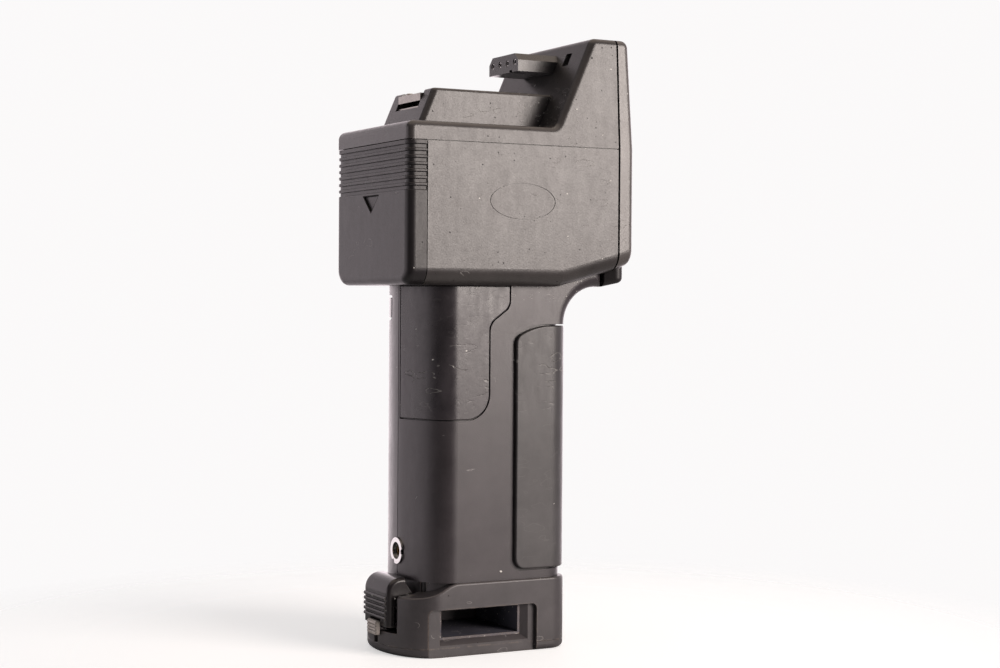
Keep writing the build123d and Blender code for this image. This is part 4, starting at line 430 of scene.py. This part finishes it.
def metal(name, colour, roughness, stain=0.25, grain=(1, 1, 1), scratches=0.2):
    """Metal with a drawn grain, patchy stains, a few fine scratches, and painted shade with dirt in its
    corners.
    """
    material, tree, shader, place = new_material(name)
    shader.inputs["Metallic"].default_value = 1.0
    patches = cloudy(tree, place, 2 * millimetre, 3.0, 2.0)
    stained = (*[channel * (1 - stain) for channel in colour], 1)
    tone = blend_colour(tree, patches, stained, (*colour, 1))
    # Painted shade, with dirt: corners and recesses darken towards brown-black by how closed-in they are.
    corner_shade_and_dirt = sums(tree, "MULTIPLY", corners(tree, 0.8 * millimetre), 0.7)
    tone = blend_colour(tree, corner_shade_and_dirt, tone, (0.03, 0.025, 0.02, 1))
    tree.links.new(tone, shader.inputs["Base Color"])
    lines = part_node(tree, "ShaderNodeMapping", {"Vector": place, "Scale": grain}).outputs[0]
    drawn = cloudy(tree, lines, 0.2 * millimetre, 2.0, 4.0)
    scratched = hairlines(tree, place, 2.5 * millimetre, 0.03 * millimetre, scratches, 6.0)
    finish = between(tree, drawn, 0.2, 0.8, roughness * 0.7, roughness * 1.4)
    finish = sums(tree, "ADD", finish, sums(tree, "MULTIPLY", scratched, 0.2))
    tree.links.new(finish, shader.inputs["Roughness"])
    height = sums(tree, "SUBTRACT", drawn, sums(tree, "MULTIPLY", scratched, 2.0))
    tree.links.new(relief(tree, height, 0.002 * millimetre), shader.inputs["Normal"])
    return material


dress(metal("chrome_ring", (0.93, 0.93, 0.92), 0.12, stain=0.08), "sync_ring")
dress(metal("dull_brass", (0.78, 0.58, 0.34), 0.3, stain=0.3), "sync_contacts")
insulator_black = black_moulding("insulator_black", (0.012, 0.011, 0.011), 0.35, dust=0.1, joint_dust=0.2)
dress(insulator_black, "sync_insulator")

# ---------------------------------------------------------------------------------------------
# Foot shell and sole plate: the thick moulded foot with its bracket socket, and the flat plate
# screwed under it. Satin black ABS, scuffed low down where it meets the table, and a little paler
# than the head's as painted light for the dimmer lamp low down. The socket is lined with a steel
# sleeve that is painted black, with paler edges that are rubbed wear and a painted highlight on
# its lip.
# ---------------------------------------------------------------------------------------------
# Painted light: the foot's copy of the ABS is paler than the head shells'.
foot_black_lit = black_moulding(
    "foot_black_lit",
    (0.042, 0.037, 0.040),
    0.37,
    grain=0.6 * millimetre,
    grain_depth=0.014 * millimetre,
    dust=0.07,
    joint_dust=0.35,
    pits=0.04,
    scuffs=0.15,
    wear=0.75,
    rubbed=(0.20, 0.16, 0.13),
)
dress(foot_black_lit, "foot_shell", "sole_plate")
sleeve_black = black_moulding(
    "sleeve_black",
    (0.075, 0.075, 0.095),
    0.6,
    grain_depth=0.006 * millimetre,
    dust=0.05,
    lint=0.3,
    wear=1.0,
    shine=0.2,
    # Rubbed wear and a painted highlight: the pale brownish edges light up the socket's lip.
    rubbed=(0.34, 0.27, 0.21),
)
dress(sleeve_black, "bracket_sleeve")

# ---------------------------------------------------------------------------------------------
# Release lever: a hooded acetal plate with five finger ribs, on a steel pin with a torsion coil.
# The thumb has polished the hood.
# ---------------------------------------------------------------------------------------------
lever_black = black_moulding(
    "lever_black",
    (0.012, 0.010, 0.011),
    0.22,
    grain=0.4 * millimetre,
    grain_depth=0.004 * millimetre,
    dust=0.04,
    joint_dust=0.35,
    wear=0.9,
    mottle=0.5,
    shine=0.3,
)
dress(lever_black, "release_lever")
dress(metal("plain_steel", (0.5, 0.5, 0.49), 0.3), "lever_pin", "lever_spring")

# ---------------------------------------------------------------------------------------------
# Lock: a small ribbed slide under the lever, moulded in a browner plastic that has worn darker at its
# edges, and the steel plate that keeps its stem inside the foot.
# ---------------------------------------------------------------------------------------------
lock_brown = black_moulding("lock_brown", (0.62, 0.55, 0.50), 0.3, joint_dust=0.3, wear=1.0)
dress(lock_brown, "lock_slider")
dress(metal("keeper_steel", (0.5, 0.49, 0.47), 0.4, stain=0.4), "lock_keeper")

# ---------------------------------------------------------------------------------------------
# Head shells, front panel and chin block: the box over the grip. Black ABS from a spark-eroded
# mould, pitted and dusty, with grey scuffs on the edges that rub in a bag. The chin block's copy
# is darker as painted shade, and the front panel's paler as painted light.
# ---------------------------------------------------------------------------------------------
shell_black = black_moulding(
    "shell_black",
    (0.032, 0.028, 0.027),
    0.33,
    grain=0.55 * millimetre,
    grain_depth=0.04 * millimetre,
    dust=0.08,
    joint_dust=0.3,
    pits=0.3,
    scuffs=0.12,
)
dress(shell_black, "head_lower_shell")
# Painted shade: the chin block's copy of the ABS is darker than the head shells'.
chin_black_shaded = black_moulding(
    "chin_black_shaded", (0.016, 0.014, 0.015), 0.42, dust=0.08, joint_dust=0.4, scuffs=0.12, wear=0.5, shine=0.25
)
dress(chin_black_shaded, "chin_block")
# Painted light: the front panel's copy of the ABS is paler than the head shells'.
panel_black_lit = black_moulding(
    "panel_black_lit",
    (0.075, 0.067, 0.064),
    0.3,
    grain=0.55 * millimetre,
    grain_depth=0.04 * millimetre,
    dust=0.06,
    joint_dust=0.3,
    pits=0.06,
    scuffs=0.12,
    mottle=0.45,
)
dress(panel_black_lit, "front_panel")
wedge_foot = Vector((13.2, 0.0, 191.0)) * millimetre
lint_reach = 16 * millimetre
lint_half = 29 * millimetre


def wedge_corner(tree, place):
    """The closed-in corner at the foot of the wedge, where fluff and crumbs have gathered."""
    ahead = sums(tree, "SUBTRACT", along(tree, place, "X"), wedge_foot.x)
    above = sums(tree, "SUBTRACT", along(tree, place, "Z"), wedge_foot.z)
    squares = sums(tree, "ADD", sums(tree, "POWER", ahead, 2.0), sums(tree, "POWER", above, 2.0))
    away = sums(tree, "SQRT", squares)
    near_corner = between(tree, away, 0.5 * lint_reach, lint_reach, 1.0, 0.05)
    across = sums(tree, "ABSOLUTE", along(tree, place, "Y"))
    return sums(tree, "MULTIPLY", near_corner, sums(tree, "LESS_THAN", across, lint_half))


deck_black = black_moulding(
    "deck_black",
    (0.032, 0.028, 0.027),
    0.33,
    grain=0.55 * millimetre,
    grain_depth=0.04 * millimetre,
    dust=0.09,
    joint_dust=0.5,
    pits=0.4,
    scuffs=0.12,
    lint=0.75,
    shine=0.48,
    linted=wedge_corner,
)
dress(deck_black, "head_upper_shell")

# ---------------------------------------------------------------------------------------------
# Rear cover: the slide over the battery bay, with finger ridges and a sunk arrow. It is moulded
# in a blacker, coarser plastic than the head.
# ---------------------------------------------------------------------------------------------
cover_low, cover_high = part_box("rear_cover")
arrow_drop = 18.2 * millimetre
arrow_top = cover_high.z - arrow_drop
arrow_half = 6.6 * millimetre
arrow_height = 6 * millimetre
shade_line_width = 0.28 * millimetre


def arrow_wall_shade(tree, place):
    """Painted shade: a thin dark line along the three walls of the sunk arrow."""
    lean = math.atan2(arrow_half, arrow_height)
    over = sums(tree, "SUBTRACT", along(tree, place, "Z"), arrow_top)
    across = sums(tree, "SUBTRACT", sums(tree, "ABSOLUTE", along(tree, place, "Y")), arrow_half)
    side = sums(
        tree,
        "SUBTRACT",
        sums(tree, "MULTIPLY", across, math.cos(lean)),
        sums(tree, "MULTIPLY", over, math.sin(lean)),
    )
    outside = sums(tree, "ABSOLUTE", sums(tree, "MAXIMUM", side, over))
    rearmost = sums(tree, "LESS_THAN", along(tree, place, "X"), cover_low.x + millimetre)
    return sums(tree, "MULTIPLY", sums(tree, "LESS_THAN", outside, shade_line_width), rearmost)


cover_black = black_moulding(
    "cover_black",
    (0.011, 0.009, 0.010),
    0.37,
    grain=0.6 * millimetre,
    grain_depth=0.02 * millimetre,
    dust=0.16,
    joint_dust=0.3,
    pits=0.1,
    wear=0.5,
    shine=0.33,
    # The arrow's walls get a painted shade line in the pits' near black.
    shade_lines=arrow_wall_shade,
)
dress(cover_black, "rear_cover")

# ---------------------------------------------------------------------------------------------
# Battery cells: six penlight cells in shrink sleeves with a paler band at one end, and bare
# nickel-plated ends.
# ---------------------------------------------------------------------------------------------
cell_low, cell_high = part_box("battery_cells")
bare_end = 1.6 * millimetre
band_start = 12 * millimetre
band_length = 9 * millimetre


def cell_band(tree, place):
    """The pale band round each sleeve and the bare metal at both ends."""
    run = sums(tree, "SUBTRACT", along(tree, place, "X"), cell_low.x)
    band = sums(
        tree,
        "MULTIPLY",
        sums(tree, "GREATER_THAN", run, band_start),
        sums(tree, "LESS_THAN", run, band_start + band_length),
    )
    low_end = sums(tree, "LESS_THAN", run, bare_end)
    high_end = sums(tree, "GREATER_THAN", run, cell_high.x - cell_low.x - bare_end)
    return sums(tree, "MAXIMUM", band, sums(tree, "MAXIMUM", low_end, high_end))


cell_sleeve = inner_finish("cell_sleeve", ((0.05, 0.06, 0.07), (0.66, 0.65, 0.62)), cell_band, 0.25)
dress(cell_sleeve, "battery_cells")
nickel_strip = metal("nickel_strip", (0.72, 0.71, 0.68), 0.22, stain=0.2, grain=(1, 6, 1))
dress(nickel_strip, "cell_contacts", "magazine_terminals", "bay_contacts")


# ---------------------------------------------------------------------------------------------
# Main board: a green-lacquered laminate with copper tracks showing through, on four posts. It
# carries moulded parts with tinned ends, and a transformer wound on ferrite under yellow tape.
# ---------------------------------------------------------------------------------------------
track_rows = 120.0


def copper_tracks(tree, place):
    """Paler tracks that run along and across the board."""
    upright = part_node(tree, "ShaderNodeMapping", {"Vector": place, "Rotation": (0, math.pi / 2, 0)})
    inputs = {
        "Vector": upright.outputs[0],
        "Scale": track_rows,
        "Mortar Size": 0.03,
        "Color1": (0, 0, 0, 1),
        "Color2": (0, 0, 0, 1),
        "Mortar": (1, 1, 1, 1),
    }
    lines = part_node(tree, "ShaderNodeTexBrick", inputs).outputs["Color"]
    pads = specks(tree, place, 3.2 * millimetre, 0.6 * millimetre, 0.4)
    return sums(tree, "MAXIMUM", lines, pads)


board_green = inner_finish("board_green", ((0.012, 0.055, 0.022), (0.10, 0.20, 0.07)), copper_tracks, 0.3)
dress(board_green, "main_board")
part_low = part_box("board_parts")[0]
tinned_depth = 0.8 * millimetre


def moulded_ends(tree, place):
    """Tinned ends on the parts, next to the board."""
    return sums(tree, "LESS_THAN", along(tree, place, "X"), part_low.x + tinned_depth)


epoxy_black = inner_finish("epoxy_black", ((0.02, 0.02, 0.022), (0.45, 0.44, 0.42)), moulded_ends, 0.4)
dress(epoxy_black, "board_parts")
core_low, core_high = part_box("inverter_transformer")
core_edge = 1.6 * millimetre


def ferrite_ends(tree, place):
    """The dark ferrite that stands out at both sides of the taped winding."""
    side = sums(tree, "SUBTRACT", along(tree, place, "Y"), (core_low.y + core_high.y) / 2)
    winding_half = (core_high.y - core_low.y) / 2 - core_edge
    return sums(tree, "GREATER_THAN", sums(tree, "ABSOLUTE", side), winding_half)


tape_yellow = inner_finish("tape_yellow", ((0.50, 0.33, 0.08), (0.03, 0.03, 0.032)), ferrite_ends, 0.3)
dress(tape_yellow, "inverter_transformer")

# ---------------------------------------------------------------------------------------------
# Connector: a smooth bar moulded in black plastic and let into the raked face, with four
# nickel-plated contact sleeves pressed into its holes.
# ---------------------------------------------------------------------------------------------
connector_black = black_moulding(
    "connector_black",
    (0.014, 0.0125, 0.013),
    0.3,
    grain_depth=0.006 * millimetre,
    dust=0.1,
    joint_dust=0.3,
    pits=0.05,
    wear=0.7,
)
dress(connector_black, "connector_housing")
dress(metal("contact_nickel", (0.93, 0.92, 0.91), 0.25, stain=0.05), "connector_contacts")

# ---------------------------------------------------------------------------------------------
# Docking catch: a bent plate of bright spring steel in the rail's notch, with a riveted stud, a
# tray under it and a coil spring between them.
# ---------------------------------------------------------------------------------------------
catch_steel = metal("catch_steel", (0.42, 0.40, 0.37), 0.3, stain=0.5, grain=(1, 8, 1), scratches=0.4)
dress(catch_steel, "catch_tray", "dock_catch", "catch_stud")
spring_steel = metal("spring_steel", (0.45, 0.45, 0.45), 0.3)
dress(spring_steel, "catch_spring")

# The coil squeezes between the tray and the plate as the catch is pressed. Here it is only copied
# into a mesh of its own, with its seams welded, and the catch_spring node is hidden.
weld_gap = 0.001 * millimetre
coil_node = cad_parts["catch_spring"]
coil = coil_node.copy()
coil.data = coil_node.data.copy()
coil.name = "catch_coil"
bpy.context.scene.collection.objects.link(coil)
coil.data.transform(coil_node.matrix_world)
coil.parent = None
coil.matrix_world = Matrix.Identity(4)
bpy.ops.object.select_all(action="DESELECT")
coil.select_set(True)
bpy.context.view_layer.objects.active = coil
bpy.ops.object.mode_set(mode="EDIT")
bpy.ops.mesh.select_all(action="SELECT")
bpy.ops.mesh.remove_doubles(threshold=weld_gap)
bpy.ops.object.mode_set(mode="OBJECT")
bpy.ops.object.select_all(action="DESELECT")
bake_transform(coil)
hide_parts("catch_spring")

# ---------------------------------------------------------------------------------------------
# Screws: zinc-plated ones inside, on the board, the bay's frame and the neck, and black-oxide
# ones where their heads can be seen.
# ---------------------------------------------------------------------------------------------
zinc_plate = metal("zinc_plate", (0.58, 0.57, 0.52), 0.32, stain=0.3)
dress(zinc_plate, "board_screws", "tie_screws", "neck_screws")
black_oxide = metal("black_oxide", (0.05, 0.05, 0.05), 0.35, stain=0.4, scratches=0.5)
dress(black_oxide, "panel_screws", "shell_screws", "foot_screws")

# ---------------------------------------------------------------------------------------------
# Studio: a pale table that fades out around the foot, one large soft lamp to the front right,
# bright surroundings behind and at the sides, and a dark room behind the viewer.
# ---------------------------------------------------------------------------------------------
middle = (cad_low + cad_high) / 2
table_reach = 0.26
fade_start = 0.11
fade_end = 0.24
table_glow = 0.52
bpy.ops.mesh.primitive_plane_add(size=2 * table_reach, location=(middle.x, middle.y, cad_low.z))
table = bpy.context.object
table.name = "table"
table.data.transform(table.matrix_world)
table.matrix_world = Matrix.Identity(4)
table_white, tree, shader, place = new_material("table_white")
shader.inputs["Base Color"].default_value = (0.9, 0.89, 0.885, 1)
shader.inputs["Roughness"].default_value = 0.7
shader.inputs["Specular IOR Level"].default_value = 0.2
rays = tree.nodes.new("ShaderNodeLightPath")
shader.inputs["Emission Color"].default_value = (1, 0.99, 0.985, 1)
glow = sums(tree, "MULTIPLY", rays.outputs["Is Camera Ray"], table_glow)
tree.links.new(glow, shader.inputs["Emission Strength"])
distance = part_node(tree, "ShaderNodeVectorMath", {0: place}, operation="LENGTH").outputs["Value"]
clear = part_node(tree, "ShaderNodeBsdfTransparent")
fade = part_node(
    tree,
    "ShaderNodeMixShader",
    {0: between(tree, distance, fade_start, fade_end), 1: shader.outputs[0], 2: clear.outputs[0]},
)
tree.links.new(fade.outputs[0], tree.nodes["Material Output"].inputs["Surface"])
table.data.materials.append(table_white)


def toward(tree, direction, bearing):
    """How nearly a direction faces a bearing, from 1 straight at it to -1 straight away."""
    aim = (-math.sin(bearing), -math.cos(bearing), 0.0)
    inputs = {0: direction, 1: aim}
    return part_node(tree, "ShaderNodeVectorMath", inputs, operation="DOT_PRODUCT").outputs["Value"]


world = bpy.data.worlds.new("studio")
bpy.context.scene.world = world
world.use_nodes = True
tree = world.node_tree
tree.nodes.clear()
direction = tree.nodes.new("ShaderNodeTexCoord").outputs["Generated"]
rays = tree.nodes.new("ShaderNodeLightPath")
dark_side = math.radians(42)
dark_level = 0.17
back_wall = math.radians(208.7)
back_edge_level = 0.8
back_level = 3.0
left_wall = math.radians(116)
left_level = 2.1
upper_level = 0.33
ceiling_level = 1.3
ground_level = 0.35
facing = toward(tree, direction, dark_side)
height = part_node(tree, "ShaderNodeSeparateXYZ", {0: direction}).outputs["Z"]
around = between(tree, facing, 0.55, 0.86, 1.0, dark_level)
above = between(tree, height, 0.2, 0.5, 1.0, upper_level)
overhead = between(tree, height, 0.6, 0.85, 0.0, ceiling_level)
below = between(tree, height, -0.4, -0.15, ground_level, 1.0)
mirrored = sums(tree, "MULTIPLY", around, sums(tree, "MULTIPLY", above, below))
backdrop = between(tree, toward(tree, direction, back_wall), 0.55, 0.95, back_edge_level, back_level)
mirrored = sums(tree, "MULTIPLY", mirrored, backdrop)
leftward = between(tree, toward(tree, direction, left_wall), 0.84, 0.96, 1.0, left_level)
mirrored = sums(tree, "MULTIPLY", mirrored, leftward)
mirrored = sums(tree, "ADD", mirrored, overhead)
polished_ray = sums(tree, "MAXIMUM", rays.outputs["Is Glossy Ray"], rays.outputs["Is Transmission Ray"])
room_level = 0.25
seen_level = 0.965
levels = {"Factor": polished_ray, "A": room_level, "B": mirrored}
level = part_node(tree, "ShaderNodeMix", levels, data_type="FLOAT").outputs[0]
levels = {"Factor": rays.outputs["Is Camera Ray"], "A": level, "B": seen_level}
level = part_node(tree, "ShaderNodeMix", levels, data_type="FLOAT").outputs[0]
wall_pink = (1, 0.885, 0.925, 1)
ceiling_amber = (1, 0.84, 0.72, 1)
room_white = (1, 0.985, 0.985, 1)
wall_tint = blend_colour(tree, between(tree, overhead, 0.0, 1.0), wall_pink, ceiling_amber)
tint = blend_colour(tree, polished_ray, room_white, wall_tint)
background = part_node(tree, "ShaderNodeBackground", {"Color": tint, "Strength": level})
part_node(tree, "ShaderNodeOutputWorld", {"Surface": background.outputs[0]})


def soft_lamp(name, place, aim, width, height, radiance, colour):
    """A soft box at a place, facing another, of an even radiance."""
    facing_way = (Vector(aim) - Vector(place)).to_track_quat("-Z", "Y").to_euler()
    bpy.ops.object.light_add(type="AREA", location=place, rotation=facing_way)
    lamp = bpy.context.object
    lamp.name = name
    lamp.data.shape = "RECTANGLE"
    lamp.data.size = width
    lamp.data.size_y = height
    lamp.data.energy = radiance * math.pi * width * height
    lamp.data.color = colour
    lamp.visible_camera = False


head_middle = (0.0, -0.031, 0.165)
lamp_bearing = math.radians(31)
lamp_distance = 1.2
lamp_rise = 0.225
lamp_width = 0.74
lamp_height = 0.62
lamp_radiance = 12.5
lamp_colour = (1.0, 0.9, 0.84)
lamp_place = (
    head_middle[0] + lamp_distance * math.sin(lamp_bearing),
    head_middle[1] - lamp_distance * math.cos(lamp_bearing),
    head_middle[2] + lamp_rise,
)
soft_lamp("key_lamp", lamp_place, head_middle, lamp_width, lamp_height, lamp_radiance, lamp_colour)

# ---------------------------------------------------------------------------------------------
# Camera: to the rear left of the object, a little above the middle of its height, and looking
# very slightly down at it.
# ---------------------------------------------------------------------------------------------
bpy.ops.object.camera_add()
camera = bpy.context.object
camera.data.sensor_width = 36
camera.data.lens = 67.94
camera.data.clip_start = 0.01
camera_place = (-0.3225, -0.6201, 0.126)
look_right = 27.99
look_down = 0.95
roll_left = 0.38
turn = Matrix.Rotation(math.radians(-look_right), 4, "Z")
tilt = Matrix.Rotation(math.radians(90 - look_down), 4, "X")
roll = Matrix.Rotation(math.radians(roll_left), 4, "Z")
camera.matrix_world = Matrix.Translation(camera_place) @ turn @ tilt @ roll
bpy.context.scene.camera = camera
bpy.context.scene.view_settings.view_transform = "Standard"
